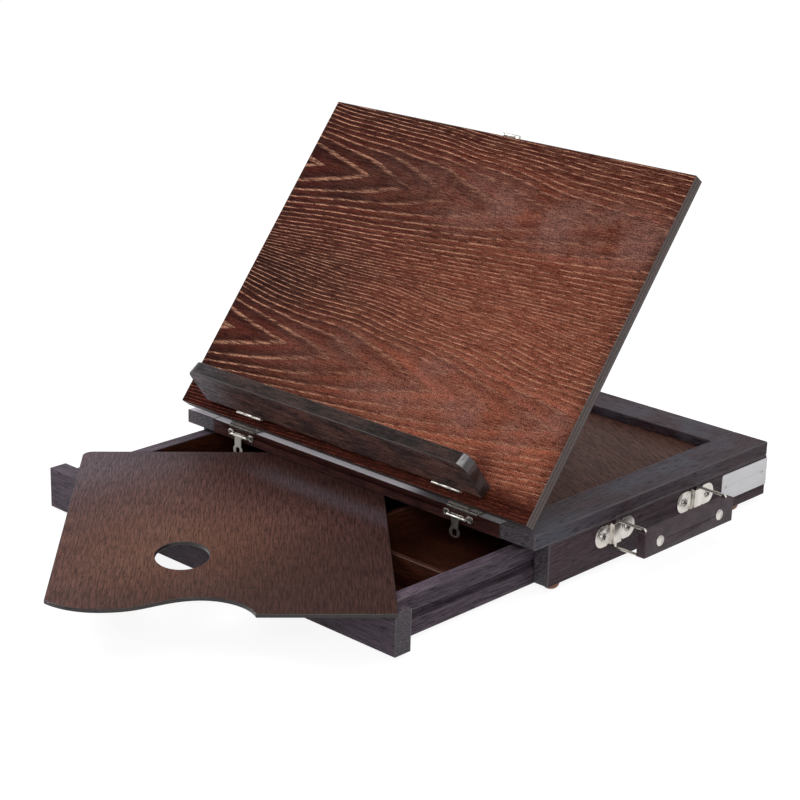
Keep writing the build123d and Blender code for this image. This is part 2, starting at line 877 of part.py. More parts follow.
def handle_plate(y):
    wall = half_width
    skin = handle_plate_thickness
    half_length = handle_plate_length / 2
    half_height = handle_plate_height / 2
    plate = block(
        (wall, wall + skin),
        (y - half_length, y + half_length),
        (handle_z - half_height, handle_z + half_height),
    )
    plate = fillet(plate.edges().filter_by(Axis.X), half_height * 0.98)
    waist_z = half_height + handle_plate_waist_radius - handle_plate_waist_depth
    waists = [
        rod(
            handle_plate_waist_radius,
            (wall, y + across * handle_plate_waist_offset, handle_z + up * waist_z),
            (wall + skin, y + across * handle_plate_waist_offset, handle_z + up * waist_z),
        )
        for across in (-1, 1)
        for up in (-1, 1)
    ]
    half_loop = handle_loop_width / 2
    loop = block(
        (wall, wall + handle_loop_rise),
        (y - half_loop, y + half_loop),
        (handle_z - handle_loop_height / 2, handle_z + handle_loop_height / 2),
    )
    tunnel = block(
        (wall, wall + handle_loop_rise - skin),
        (y - half_loop + skin, y + half_loop - skin),
        (handle_z - handle_plate_height, handle_z + handle_plate_height),
    )
    return cut_all(cut_all(plate, waists) + loop, [tunnel] + handle_screw_holes)


def ring(y):
    low = ring_z - ring_height / 2
    high = ring_z + ring_height / 2
    path = FilletPolyline(
        (ring_axis_x, y, low),
        (grip_x, y, low),
        (grip_x, y, high),
        (ring_axis_x, y, high),
        radius=ring_bend_radius,
        close=True,
    )
    start = path @ 0
    return sweep(Plane(origin=start, z_dir=path % 0) * Circle(ring_wire_radius), path=path)


def grip_rivet_shank(grow=0.0):
    radius = grip_rivet_shank_radius + grow
    return Pos(0, 0, -grip_thickness / 2) * Cylinder(radius, grip_thickness)


def grip():
    half = grip_thickness / 2
    body = block(
        (grip_x - half, grip_x + half),
        (handle_y[0] - grip_overhang, handle_y[1] + grip_overhang),
        (ring_z - grip_height / 2, ring_z + grip_height / 2),
    )
    body = fillet(body.edges().filter_by(Axis.Z), grip_corner_radius)
    bores = [
        Pos(grip_x, y, ring_z) * Cylinder(ring_wire_radius + pin_clearance, grip_height)
        for y in handle_y
    ]
    return cut_all(body, bores + place_all(grip_rivet_shank(screw_fit), grip_rivet_spots, (1, 0, 0)))


grip_rivet_spots = [
    (grip_x + grip_thickness / 2, y, ring_z)
    for y in (handle_y[0] + grip_rivet_inset, handle_y[1] - grip_rivet_inset)
]


def grip_rivets():
    outer = grip_rivet_head_radius
    cap = turned((0, 0), (outer, 0), (outer * 0.85, grip_rivet_outer_rise), (0, grip_rivet_outer_rise))
    inner = Pos(0, 0, -grip_thickness - grip_rivet_inner_rise / 2) * Cylinder(
        grip_rivet_head_radius, grip_rivet_inner_rise
    )
    return place_all(cap + grip_rivet_shank() + inner, grip_rivet_spots, (1, 0, 0))


def name_plate():
    body = block(
        (half_width, half_width + name_plate_thickness),
        (back_y - name_plate_length, back_y),
        (name_plate_z - name_plate_height / 2, name_plate_z + name_plate_height / 2),
    )
    front_corners = body.edges().filter_by(Axis.X).group_by(Axis.Y)[0]
    return cut_all(fillet(front_corners, name_plate_corner), name_nail_holes)


# ---------------------------------------------------------------- every piece, by node

nodes = {}
nodes.update(lid_frame())
nodes.update(case_walls())
nodes.update(drawer())
nodes["drawer_runners"] = drawer_runners()
nodes["prop_rack"] = prop_rack()
nodes["feet"] = [Pos(x, y, 0) * foot() for x, y in foot_spots]
nodes["foot_screws"] = place_all(foot_screw(), foot_screw_spots, (0, 0, -1))
nodes["rail_hinge_leaves"] = rail_hinge_leaves()
nodes["hinge_pins"] = hinge_pins()
nodes["rail_hinge_screws"] = place_all(wood_screw(), rail_screw_spots, (0, 0, 1))
nodes["latch_leaves"] = at_latches(latch_leaf(latch_standoff))
nodes["latch_pins"] = at_latches(latch_pin())
nodes["latch_screws"] = small_screws(latch_screw_spots, (0, -1, 0))
nodes["handle_plate_near"] = handle_plate(handle_y[0])
nodes["handle_plate_far"] = handle_plate(handle_y[1])
nodes["handle_screws"] = place_all(dome_screw(), handle_screw_spots, (1, 0, 0))
nodes["name_plate"] = name_plate()
nodes["name_plate_nails"] = place_all(name_nail(), name_nail_spots, (1, 0, 0))
nodes["catch_hook"] = catch_hook()
nodes["catch_hook_screws"] = small_screws(catch_hook_screw_spots, (0, 1, 0))

nodes["easel_panel"] = easel_panel()
nodes["panel_hinge_leaves"] = panel_hinge_leaves()
nodes["panel_hinge_screws"] = [
    tilted(screw) for screw in place_all(wood_screw(), panel_screw_spots, (0, 0, -1))
]
nodes["panel_ledge_leaves"] = panel_ledge_leaves()
nodes["ledge_hinge_pins"] = ledge_hinge_pins()
nodes["panel_prop_leaf"] = panel_prop_leaf()
nodes["prop_hinge_pin"] = prop_hinge_pin()
nodes["catch_leaf"] = at_catch(latch_leaf(catch_standoff))
nodes["catch_pin"] = at_catch(latch_pin())
nodes["panel_small_screws"] = [tilted(screw) for screw in panel_small_screws()]

nodes["ledge"] = ledge()
nodes["ledge_hinge_leaves"] = ledge_hinge_leaves()
nodes["ledge_screws"] = [at_ledge(screw) for screw in small_screws(ledge_screw_spots, (0, -1, 0))]

nodes["prop_leg"] = prop_leg()
nodes["prop_foot"] = at_prop(prop_foot())
nodes["prop_hinge_leaf"] = prop_hinge_leaf()
nodes["prop_screws"] = [at_prop(screw) for screw in small_screws(prop_screw_spots, (0, 0, 1))]

nodes["left_latch_tongue"], nodes["right_latch_tongue"] = at_latches(latch_tongue())
nodes["catch_tongue"] = at_catch(latch_tongue())

nodes["latch_hooks"] = latch_hooks()
nodes["latch_hook_screws"] = small_screws(latch_hook_screw_spots, (0, -1, 0))

nodes["near_ring"] = ring(handle_y[0])
nodes["far_ring"] = ring(handle_y[1])
nodes["grip"] = grip()
nodes["grip_rivets"] = grip_rivets()
nodes["palette"] = palette()


def solids_of(shape):
    pieces = shape if isinstance(shape, list) else [shape]
    return [solid for piece in pieces for solid in piece.solids()]


def middle(low, high):
    """Halfway between the ends of the whole part, to a hundredth of a millimetre."""
    return round((min(low) + max(high)) / 2, 2)


# The origin is on the table, below the middle of the whole part as it stands open.
boxes = [solid.bounding_box() for shape in nodes.values() for solid in solids_of(shape)]
middle_x = middle([box.min.X for box in boxes], [box.max.X for box in boxes])
middle_y = middle([box.min.Y for box in boxes], [box.max.Y for box in boxes])
to_origin = Pos(-middle_x, -middle_y, 0)

os.makedirs("parts", exist_ok=True)
for name, shape in nodes.items():
    solids = [to_origin * solid for solid in solids_of(shape)]
    export_step(Compound(children=solids) if len(solids) > 1 else solids[0], f"parts/{name}.step")
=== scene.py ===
"""A table sketch box on its CAD shapes: stained woods, plated hardware and a leather grip."""

import json
from math import cos, radians, sin

import bmesh
import bpy
from mathutils import Matrix, Vector


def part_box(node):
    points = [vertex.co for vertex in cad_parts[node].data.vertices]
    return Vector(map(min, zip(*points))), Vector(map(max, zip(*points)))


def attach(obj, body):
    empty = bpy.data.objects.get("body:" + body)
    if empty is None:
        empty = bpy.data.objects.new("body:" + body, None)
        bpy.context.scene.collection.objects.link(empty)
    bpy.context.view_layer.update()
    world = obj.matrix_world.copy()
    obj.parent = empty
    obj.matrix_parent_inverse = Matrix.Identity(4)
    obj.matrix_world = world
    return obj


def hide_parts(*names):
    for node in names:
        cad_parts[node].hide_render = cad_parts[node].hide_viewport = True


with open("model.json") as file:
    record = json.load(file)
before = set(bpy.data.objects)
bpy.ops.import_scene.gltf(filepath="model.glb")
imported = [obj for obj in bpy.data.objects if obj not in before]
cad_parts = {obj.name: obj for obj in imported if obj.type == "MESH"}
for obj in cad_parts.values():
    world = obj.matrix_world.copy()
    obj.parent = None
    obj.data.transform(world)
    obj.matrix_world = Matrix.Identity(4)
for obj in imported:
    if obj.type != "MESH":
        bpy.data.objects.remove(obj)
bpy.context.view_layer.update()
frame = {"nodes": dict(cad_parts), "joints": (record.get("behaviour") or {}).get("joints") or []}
joints = {joint["name"]: joint for joint in frame["joints"]}

MM = 0.001

RIGHT = Vector((1, 0, 0))
BACK = Vector((0, 1, 0))
UP = Vector((0, 0, 1))

# Turns from the frame's axes, in degrees
PANEL_TILT = 52.0
LEDGE_LEAN = 74.2
PALETTE_TURN = 46.59

ON_PANEL = Matrix.Rotation(radians(PANEL_TILT), 3, "X")
ON_LEDGE = Matrix.Rotation(radians(PANEL_TILT + LEDGE_LEAN), 3, "X")
ON_LEG = Matrix.Rotation(radians(-PANEL_TILT), 3, "X")

PANEL_HINGE = Vector(joints["panel_tilt"]["pos_m"])
PALETTE_HOLE = Vector((0.005, -0.194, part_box("palette")[1][2]))

# ---------------------------------------------------------------- choosing and shaping

SHARP = radians(30.0)
FLAT = radians(0.5)
SAME_PLACE = 0.001 * MM


def take(piece):
    """Make one piece the only selected and active object."""
    bpy.ops.object.select_all(action="DESELECT")
    piece.select_set(True)
    bpy.context.view_layer.objects.active = piece


def edit(piece, kind="FACE"):
    """Enter edit mode on one piece with nothing selected, and give its bmesh."""
    take(piece)
    bpy.ops.object.mode_set(mode="EDIT")
    bpy.ops.mesh.select_mode(type=kind)
    bpy.ops.mesh.select_all(action="DESELECT")
    return bmesh.from_edit_mesh(piece.data)


def leave_edit():
    bpy.ops.object.mode_set(mode="OBJECT")


def pick(parts, piece, test):
    """Select the faces or edges that pass a test, in edit mode."""
    for part in parts:
        part.select_set(test(part))
    bmesh.update_edit_mesh(piece.data)


def is_sharp(edge):
    return len(edge.link_faces) == 2 and edge.calc_face_angle(0.0) > SHARP


def settle(piece):
    """Put a piece's place, turn and scale into its mesh."""
    take(piece)
    bpy.ops.object.transform_apply(location=True, rotation=True, scale=True)


def cad_copy(node, name, flatten=True):
    """A new piece on a CAD node's shape, its loose triangles merged into whole faces."""
    piece = bpy.data.objects.new(name, frame["nodes"][node].data.copy())
    bpy.context.scene.collection.objects.link(piece)
    piece.data.materials.clear()
    edit(piece)
    bpy.ops.mesh.select_all(action="SELECT")
    bpy.ops.mesh.remove_doubles(threshold=SAME_PLACE)
    if flatten:
        bpy.ops.mesh.dissolve_limited(angle_limit=FLAT, use_dissolve_boundaries=False)
    leave_edit()
    return piece


# ---------------------------------------------------------------- node trees

# The colour sockets of a Mix node
MIX_AMOUNT, MIX_FIRST, MIX_SECOND, MIX_RESULT = 0, 6, 7, 2


def feed(tree, sockets, values):
    """Link each named socket to another socket, or set it to a constant."""
    for key, value in values.items():
        if isinstance(value, bpy.types.NodeSocket):
            tree.links.new(value, sockets[key])
        else:
            sockets[key].default_value = value


class Graph:
    """Adds nodes to a tree and links them as they are added."""

    def __init__(self, tree):
        self.tree = tree

    def add(self, kind, inputs=None, **settings):
        node = self.tree.nodes.new(kind)
        for key, value in settings.items():
            setattr(node, key, value)
        feed(self.tree, node.inputs, inputs or {})
        return node

    def place(self, group, inputs):
        """The outputs of a shared group."""
        return self.add("ShaderNodeGroup", inputs, node_tree=group).outputs

    def math(self, operation, first, second=0.0, third=0.0):
        inputs = {0: first, 1: second, 2: third}
        return self.add("ShaderNodeMath", inputs, operation=operation).outputs[0]

    def times(self, first, second):
        return self.math("MULTIPLY", first, second)

    def times_plus(self, value, factor, base):
        return self.math("MULTIPLY_ADD", value, factor, base)

    def minus(self, first, second):
        return self.math("SUBTRACT", first, second)

    def larger(self, first, second):
        return self.math("MAXIMUM", first, second)

    def distance(self, value, place):
        return self.math("ABSOLUTE", self.minus(value, place))

    def spread(self, value, low, high, to_low=0.0, to_high=1.0, kind="SMOOTHSTEP"):
        """A value taken from one range to another, and held at its ends."""
        inputs = {
            "Value": value,
            "From Min": low,
            "From Max": high,
            "To Min": to_low,
            "To Max": to_high,
        }
        return self.add("ShaderNodeMapRange", inputs, interpolation_type=kind).outputs["Result"]

    def blend(self, amount, first, second, kind="MIX"):
        inputs = {MIX_AMOUNT: amount, MIX_FIRST: first, MIX_SECOND: second}
        node = self.add("ShaderNodeMix", inputs, data_type="RGBA", blend_type=kind)
        return node.outputs[MIX_RESULT]

    def split(self, vector):
        return self.add("ShaderNodeSeparateXYZ", {0: vector}).outputs

    def stretch(self, vector, scale):
        inputs = {0: vector, 1: scale}
        return self.add("ShaderNodeVectorMath", inputs, operation="MULTIPLY").outputs[0]

    def noise(self, vector, scale, detail, roughness):
        inputs = {"Vector": vector, "Scale": scale, "Detail": detail, "Roughness": roughness}
        return self.add("ShaderNodeTexNoise", inputs).outputs["Fac"]

    def bump(self, height, depth, strength):
        inputs = {"Height": height, "Distance": depth, "Strength": strength}
        return self.add("ShaderNodeBump", inputs).outputs["Normal"]


def new_group(name, sizes, outputs):
    """An empty shader group that takes a Vector and named sizes, and gives named values.

    Gives its graph, its inputs and its output node.
    """
    tree = bpy.data.node_groups.new(name, "ShaderNodeTree")
    tree.interface.new_socket(name="Vector", in_out="INPUT", socket_type="NodeSocketVector")
    for label, value in sizes.items():
        socket = tree.interface.new_socket(
            name=label, in_out="INPUT", socket_type="NodeSocketFloat"
        )
        socket.default_value = value
    for label in outputs:
        tree.interface.new_socket(name=label, in_out="OUTPUT", socket_type="NodeSocketFloat")
    graph = Graph(tree)
    given = graph.add("NodeGroupInput").outputs
    return graph, given, graph.add("NodeGroupOutput")


def fibre_group():
    """Streaks and pores that run along X; Length and Width are their size in metres."""
    graph, given, result = new_group(
        "wood fibres", {"Length": 0.03, "Width": 0.001}, ("Streak", "Pores", "Cloud")
    )
    along = graph.math("DIVIDE", 1.0, given["Length"])
    across = graph.math("DIVIDE", 1.0, given["Width"])
    scale = graph.add("ShaderNodeCombineXYZ", {0: along, 1: across, 2: across}).outputs[0]
    streaked = graph.stretch(given["Vector"], scale)
    finer = graph.stretch(streaked, (2.2, 1.7, 1.7))
    broad = graph.stretch(given["Vector"], (7.0, 34.0, 34.0))
    values = {
        "Streak": graph.spread(graph.noise(streaked, 1.0, 3.0, 0.6), 0.3, 0.7),
        "Pores": graph.spread(graph.noise(finer, 1.0, 1.0, 0.4), 0.54, 0.7),
        "Cloud": graph.spread(graph.noise(broad, 1.0, 2.0, 0.5), 0.3, 0.7),
    }
    feed(graph.tree, result.inputs, values)
    return graph.tree


# How the veneer's rings run, in metres and rings per metre
RING_SWAY = 0.013
RING_TREMBLE = 0.0007
RING_DRIFT = 1.2
POINT_HALF_WIDTH = 0.014
POINT_SLOPE = 62.0
SIDE_STEEPENING = 2500.0


def figure_group():
    """Flat-sawn figure: stacks of nested points along X, and close straight rings between them.

    Centre is the Y of one stack and Half the distance to the middle of the next gap, in metres;
    Points is how many rings each stack closes per metre. Ring runs from 0 to 1 over each ring,
    Cell is one random value for each ring, and Broad is 1 along the middle of a stack.
    """
    graph, given, result = new_group(
        "veneer figure", {"Centre": 0.0, "Half": 0.08, "Points": 16.0}, ("Ring", "Broad", "Cell")
    )
    parts = graph.split(given["Vector"])
    slow = graph.noise(graph.stretch(given["Vector"], (8.0, 20.0, 20.0)), 1.0, 1.0, 0.4)
    quick = graph.noise(graph.stretch(given["Vector"], (75.0, 230.0, 230.0)), 1.0, 2.0, 0.6)
    bend = graph.times_plus(graph.minus(slow, 0.5), RING_SWAY, parts[1])
    ragged = graph.times_plus(graph.minus(quick, 0.5), RING_TREMBLE, bend)
    away = graph.math("PINGPONG", graph.minus(ragged, given["Centre"]), given["Half"])
    outer = graph.larger(graph.minus(away, POINT_HALF_WIDTH), 0.0)
    rise = graph.times(graph.times(outer, outer), SIDE_STEEPENING)
    climb = graph.times_plus(away, POINT_SLOPE, rise)
    drift = graph.times(graph.minus(slow, 0.5), RING_DRIFT)
    phase = graph.math("ADD", graph.times_plus(parts[0], given["Points"], climb), drift)
    ring = {"W": graph.math("FLOOR", phase)}
    values = {
        "Ring": graph.math("FRACT", phase),
        "Broad": graph.spread(away, 0.012, 0.04, 1.0, 0.0),
        "Cell": graph.add("ShaderNodeTexWhiteNoise", ring, noise_dimensions="1D").outputs["Value"],
    }
    feed(graph.tree, result.inputs, values)
    return graph.tree


SPECKS_PER_METRE = 1100.0


def patch_and_speck_group():
    """A soft patchy mask, used for handling marks and dust and for painted sheen and highlights,
    and a finer speckle; Size is in metres.
    """
    graph, given, result = new_group("patches and specks", {"Size": 0.05}, ("Patch", "Speck"))
    scale = graph.math("DIVIDE", 1.0, given["Size"])
    patch = graph.noise(given["Vector"], scale, 3.0, 0.55)
    speck = graph.noise(given["Vector"], SPECKS_PER_METRE, 1.0, 0.6)
    values = {
        "Patch": graph.spread(patch, 0.35, 0.65),
        "Speck": graph.spread(speck, 0.38, 0.62),
    }
    feed(graph.tree, result.inputs, values)
    return graph.tree


def pebble_group():
    """The fine pebble of coated leather; Size is one pebble's width in metres."""
    graph, given, result = new_group("leather pebble", {"Size": 0.0009}, ("Height", "Crease"))
    inputs = {"Vector": given["Vector"], "Scale": graph.math("DIVIDE", 1.0, given["Size"])}
    cells = graph.add("ShaderNodeTexVoronoi", inputs, feature="SMOOTH_F1").outputs["Distance"]
    crease = graph.spread(cells, 0.35, 0.75)
    feed(graph.tree, result.inputs, {"Height": graph.minus(1.0, crease), "Crease": crease})
    return graph.tree


FIBRES = fibre_group()
FIGURE = figure_group()
MARKS = patch_and_speck_group()
PEBBLE = pebble_group()


def new_material(name):
    """A material with an empty tree, its Principled shader and its output."""
    material = bpy.data.materials.new(name)
    material.use_nodes = True
    material.node_tree.nodes.clear()
    graph = Graph(material.node_tree)
    shader = graph.add("ShaderNodeBsdfPrincipled")
    graph.add("ShaderNodeOutputMaterial", {0: shader.outputs[0]})
    return material, graph, shader


def wire(graph, shader, **values):
    """Set or link inputs of the Principled shader by name."""
    named = {key.replace("_", " "): value for key, value in values.items()}
    feed(graph.tree, shader.inputs, named)


def fibres_on(graph, vector, length, width):
    return graph.place(FIBRES, {"Vector": vector, "Length": length, "Width": width})


def marks_on(graph, vector, size):
    return graph.place(MARKS, {"Vector": vector, "Size": size})


def shade(color, amount):
    """A colour made darker or lighter by a factor."""
    return tuple(amount * part for part in color[:3]) + (1.0,)


# Turns that bring the grain of a board onto X, in degrees
ALONG_X = (0.0, 0.0, 0.0)
ALONG_Y = (0.0, 0.0, -90.0)
RECESS_GRAIN = (0.0, 0.0, 26.0)
PANEL_GRAIN = (-PANEL_TILT, 0.0, 0.0)
LEDGE_GRAIN = (-PANEL_TILT - LEDGE_LEAN, 0.0, 0.0)
PROP_GRAIN = (PANEL_TILT, 0.0, -90.0)
PALETTE_GRAIN = (0.0, 0.0, -PALETTE_TURN - 90.0)


def board_vector(graph, turn=ALONG_X, shift=(0.0, 0.0, 0.0)):
    """Object coordinates turned so that X runs along the grain."""
    coordinates = graph.add("ShaderNodeTexCoord").outputs["Object"]
    turned = [radians(angle) for angle in turn]
    inputs = {"Vector": coordinates, "Rotation": turned, "Location": shift}
    return graph.add("ShaderNodeMapping", inputs).outputs["Vector"]


def panel_vector(graph):
    """X along the panel's width, Y up its slope and Z out of its face, from the hinge's axis."""
    return board_vector(graph, PANEL_GRAIN, ON_PANEL.transposed() @ -PANEL_HINGE)


# ---------------------------------------------------------------- wood finishes

# Each pair is a finish's dark and its light
CASE_WOOD = (0.014, 0.006, 0.008, 1), (0.105, 0.064, 0.08, 1)
# A blue-grey painted sheen for the rails
CASE_SHEEN = (0.1, 0.103, 0.13, 1)
CASE_ARRIS = (0.09, 0.068, 0.08, 1)
FRONT_WOOD = (0.01, 0.003, 0.003, 1), (0.095, 0.03, 0.025, 1)
# A painted sheen for the rails' tops, and the plain wood it fades into
RAIL_SHEEN = (0.62, 0.55, 0.66, 1), (0.82, 0.74, 0.87, 1)
RAIL_PLAIN = (0.02, 0.017, 0.02, 1), (0.1, 0.09, 0.1, 1)
DRAWER_WOOD = (0.028, 0.018, 0.025, 1), (0.17, 0.125, 0.165, 1)
SAWN_WOOD = (0.018, 0.014, 0.018, 1), (0.16, 0.14, 0.16, 1)
INNER_WOOD = (0.008, 0.002, 0.001, 1), (0.085, 0.02, 0.009, 1)
INNER_ARRIS = (0.1, 0.05, 0.035, 1)
RECESS_WOOD = (0.024, 0.008, 0.006, 1), (0.165, 0.075, 0.055, 1)
PROP_WOOD = (0.025, 0.013, 0.011, 1), (0.08, 0.045, 0.038, 1)

LEDGE_STAIN = (0.004, 0.003, 0.003, 1), (0.055, 0.038, 0.037, 1)
LEDGE_RUBBED = (0.016, 0.007, 0.006, 1), (0.11, 0.06, 0.05, 1)
LEDGE_GREY = (0.04, 0.037, 0.042, 1), (0.15, 0.14, 0.16, 1)
LEDGE_PORES = (0.006, 0.004, 0.004, 1)
LEDGE_ARRIS = (0.05, 0.041, 0.039, 1)
LEDGE_END = (0.028, 0.022, 0.022, 1), (0.085, 0.07, 0.072, 1)
# A highlight painted on the ledge's rounded corner
LEDGE_CORNER_HIGHLIGHT = (0.09, 0.08, 0.082, 1), (0.42, 0.4, 0.41, 1)

PALETTE_DARK = (0.016, 0.005, 0.004, 1)
PALETTE_LIGHT = (0.17, 0.075, 0.064, 1)
PALETTE_WARM = (0.24, 0.1, 0.055, 1)
# A grey painted sheen
PALETTE_SHEEN = (0.165, 0.13, 0.16, 1)
PALETTE_EDGE = (0.035, 0.026, 0.026, 1)

PANEL_DARK = (0.02, 0.002, 0.0015, 1)
PANEL_MID = (0.075, 0.01, 0.006, 1)
# Warm colour of a painted pool of light
PANEL_POOL_WARM = (0.36, 0.09, 0.05, 1)
PANEL_PALE = (0.58, 0.28, 0.18, 1)
# Brightest colour of the painted pool of light
PANEL_POOL_GLOW = (0.5, 0.145, 0.08, 1)
# The pale lines' colour in the ledge's painted shadow
PANEL_SHADED_LINES = (0.24, 0.06, 0.036, 1)
PANEL_GLINT = (0.23, 0.125, 0.11, 1)
PANEL_ARRIS = (0.1, 0.075, 0.07, 1)
PANEL_PLIES = (0.012, 0.008, 0.008, 1), (0.17, 0.125, 0.115, 1)
PLY_THICKNESS = 3.55 * MM

GRAIN_DEPTH = 0.12 * MM
PORE_AMOUNT = 0.6


def raised_grain(graph, fibres):
    """A normal with the streaks raised and the pores sunk."""
    height = graph.minus(graph.times(fibres["Streak"], 0.6), fibres["Pores"])
    return graph.bump(height, GRAIN_DEPTH, 0.8)


def grain_tone(graph, fibres, marks, streaks):
    """Light and dark over a board; streaks is the streaks' share, and specks make up the rest."""
    return graph.times_plus(marks["Speck"], 1.0 - streaks, graph.times(fibres["Streak"], streaks))


def stained_wood(name, colors, turn, length=0.026, width=0.0017, coat=0.07, painted_sheen=None):
    """Stained wood under a thin satin coat: fine streaks, open pores and slow clouds of tone. A
    blue-grey sheen may be painted on in patches.
    """
    dark, light = colors
    material, graph, shader = new_material(name)
    vector = board_vector(graph, turn)
    fibres = fibres_on(graph, vector, length, width)
    marks = marks_on(graph, vector, 0.05)
    tone = graph.times(fibres["Streak"], 0.5)
    tone = graph.times_plus(fibres["Cloud"], 0.2, tone)
    tone = graph.times_plus(marks["Speck"], 0.3, tone)
    color = graph.blend(tone, dark, light)
    # Painted sheen: patches blended towards a blue-grey tone
    if painted_sheen:
        sheen_spots = graph.times(fibres["Cloud"], graph.times(marks["Patch"], 0.8))
        color = graph.blend(sheen_spots, color, painted_sheen)
    color = graph.blend(graph.times(fibres["Pores"], 0.7), color, shade(dark, 0.4))
    roughness = graph.times_plus(marks["Patch"], 0.08, 0.5)
    roughness = graph.times_plus(fibres["Pores"], 0.15, roughness)
    wire(
        graph,
        shader,
        Base_Color=color,
        Roughness=roughness,
        Specular_IOR_Level=0.15,
        Coat_Weight=graph.times_plus(marks["Patch"], coat * 0.5, coat * 0.7),
        Coat_Roughness=0.3,
        Normal=raised_grain(graph, fibres),
    )
    return material


def mottled_ledge(name, lift):
    """Black-brown stain rubbed through to brown in patches, greyer towards the left end; lift is
    painted light, a factor on the whole colour.
    """
    material, graph, shader = new_material(name)
    vector = board_vector(graph, LEDGE_GRAIN)
    fibres = fibres_on(graph, vector, 0.016, 0.0017)
    marks = marks_on(graph, graph.stretch(vector, (0.45, 1, 1)), 0.016)
    tone = grain_tone(graph, fibres, marks, 0.6)
    stain = graph.blend(tone, *LEDGE_STAIN)
    color = graph.blend(marks["Patch"], stain, graph.blend(tone, *LEDGE_RUBBED))
    left_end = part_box("ledge")[0][0]
    leftward = graph.spread(graph.split(vector)[0], left_end + 60 * MM, left_end + 5 * MM)
    color = graph.blend(graph.times(leftward, 0.6), color, graph.blend(tone, *LEDGE_GREY))
    color = graph.blend(graph.times(fibres["Pores"], PORE_AMOUNT), color, LEDGE_PORES)
    # Painted light: lift brightens or darkens the whole colour for how the lamps light each side
    color = graph.blend(1.0, color, (lift, lift, lift, 1), kind="MULTIPLY")
    roughness = graph.times_plus(marks["Patch"], -0.1, 0.55)
    wire(graph, shader, Base_Color=color, Roughness=roughness, Specular_IOR_Level=0.06)
    wire(graph, shader, Normal=raised_grain(graph, fibres))
    return material


def ledge_end_and_highlight(name):
    """The ledge's rounded corner and ends, in bands across the grain, with a highlight painted on
    the rounded corner.
    """
    material, graph, shader = new_material(name)
    vector = board_vector(graph, LEDGE_GRAIN)
    marks = marks_on(graph, graph.stretch(vector, (4.5, 1, 0.5)), 0.009)
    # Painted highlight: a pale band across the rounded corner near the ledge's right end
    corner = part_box("ledge")[1][0] - 6 * MM
    near = graph.spread(graph.distance(graph.split(vector)[0], corner), 4 * MM, 1 * MM)
    color = graph.blend(marks["Patch"], *LEDGE_END)
    color = graph.blend(near, color, graph.blend(marks["Patch"], *LEDGE_CORNER_HIGHLIGHT))
    roughness = graph.times_plus(marks["Patch"], 0.15, 0.3)
    wire(graph, shader, Base_Color=color, Roughness=roughness, Specular_IOR_Level=0.5)
    wire(graph, shader, Coat_Weight=0.5, Coat_Roughness=0.15)
    return material


def flecked_palette(name):
    """Oiled plywood with short flecks along it, warm round the thumb hole, a grey sheen painted
    towards the left and painted shade under the lid and towards the right.
    """
    material, graph, shader = new_material(name)
    turned = Matrix.Rotation(radians(PALETTE_GRAIN[2]), 3, "Z")
    vector = board_vector(graph, PALETTE_GRAIN, turned @ -PALETTE_HOLE)
    fibres = fibres_on(graph, vector, 0.02, 0.0014)
    marks = marks_on(graph, vector, 0.06)
    tone = grain_tone(graph, fibres, marks, 0.65)
    color = graph.blend(tone, PALETTE_DARK, PALETTE_LIGHT)

    # Warm round the hole, a grey sheen painted towards the left, and painted shade where the lid
    # hangs over it and towards the right
    reach = graph.add("ShaderNodeVectorMath", {0: vector}, operation="LENGTH").outputs["Value"]
    warm = graph.times(graph.spread(reach, 0.15, 0.02), 0.6)
    color = graph.blend(warm, color, graph.blend(tone, shade(PALETTE_WARM, 0.3), PALETTE_WARM))
    across = graph.split(board_vector(graph))
    # Painted grey sheen towards the left
    grey = graph.times(graph.spread(across[0], -0.1, -0.2), 0.7)
    color = graph.blend(grey, color, graph.blend(tone, shade(PALETTE_SHEEN, 0.45), PALETTE_SHEEN))
    under_lid = graph.spread(across[1], -0.13, 0.0)
    # Painted shade under the lid and towards the right
    lid_shade = graph.times(graph.larger(graph.spread(across[0], -0.03, 0.1), under_lid), 0.55)
    color = graph.blend(lid_shade, color, PALETTE_DARK)

    # A band of sheen near the front rail
    band = graph.spread(graph.distance(across[1], -0.032), 0.02, 0.0)
    band = graph.times(band, graph.spread(across[0], -0.13, -0.05))
    sheen = graph.blend(tone, shade(PALETTE_SHEEN, 0.5), PALETTE_SHEEN)
    color = graph.blend(graph.times(band, 0.4), color, sheen)
    pores = graph.times(fibres["Pores"], PORE_AMOUNT)
    color = graph.blend(pores, color, shade(PALETTE_DARK, 0.5))
    roughness = graph.times_plus(marks["Patch"], 0.1, 0.45)
    wire(graph, shader, Base_Color=color, Roughness=roughness, Specular_IOR_Level=0.12)
    wire(graph, shader, Normal=raised_grain(graph, fibres))
    return material


def rubbed_and_highlit_edge(name, light, turn, coat=0.5):
    """The arris of a stained board, smoother and a little paler than its faces: partly rubbed wear,
    partly a painted highlight.
    """
    material, graph, shader = new_material(name)
    fibres = fibres_on(graph, board_vector(graph, turn), 0.02, 0.004)
    color = graph.blend(fibres["Streak"], shade(light, 0.5), light)
    wire(graph, shader, Base_Color=color, Roughness=0.4, Specular_IOR_Level=0.3)
    wire(graph, shader, Coat_Weight=coat, Coat_Roughness=0.2)
    return material


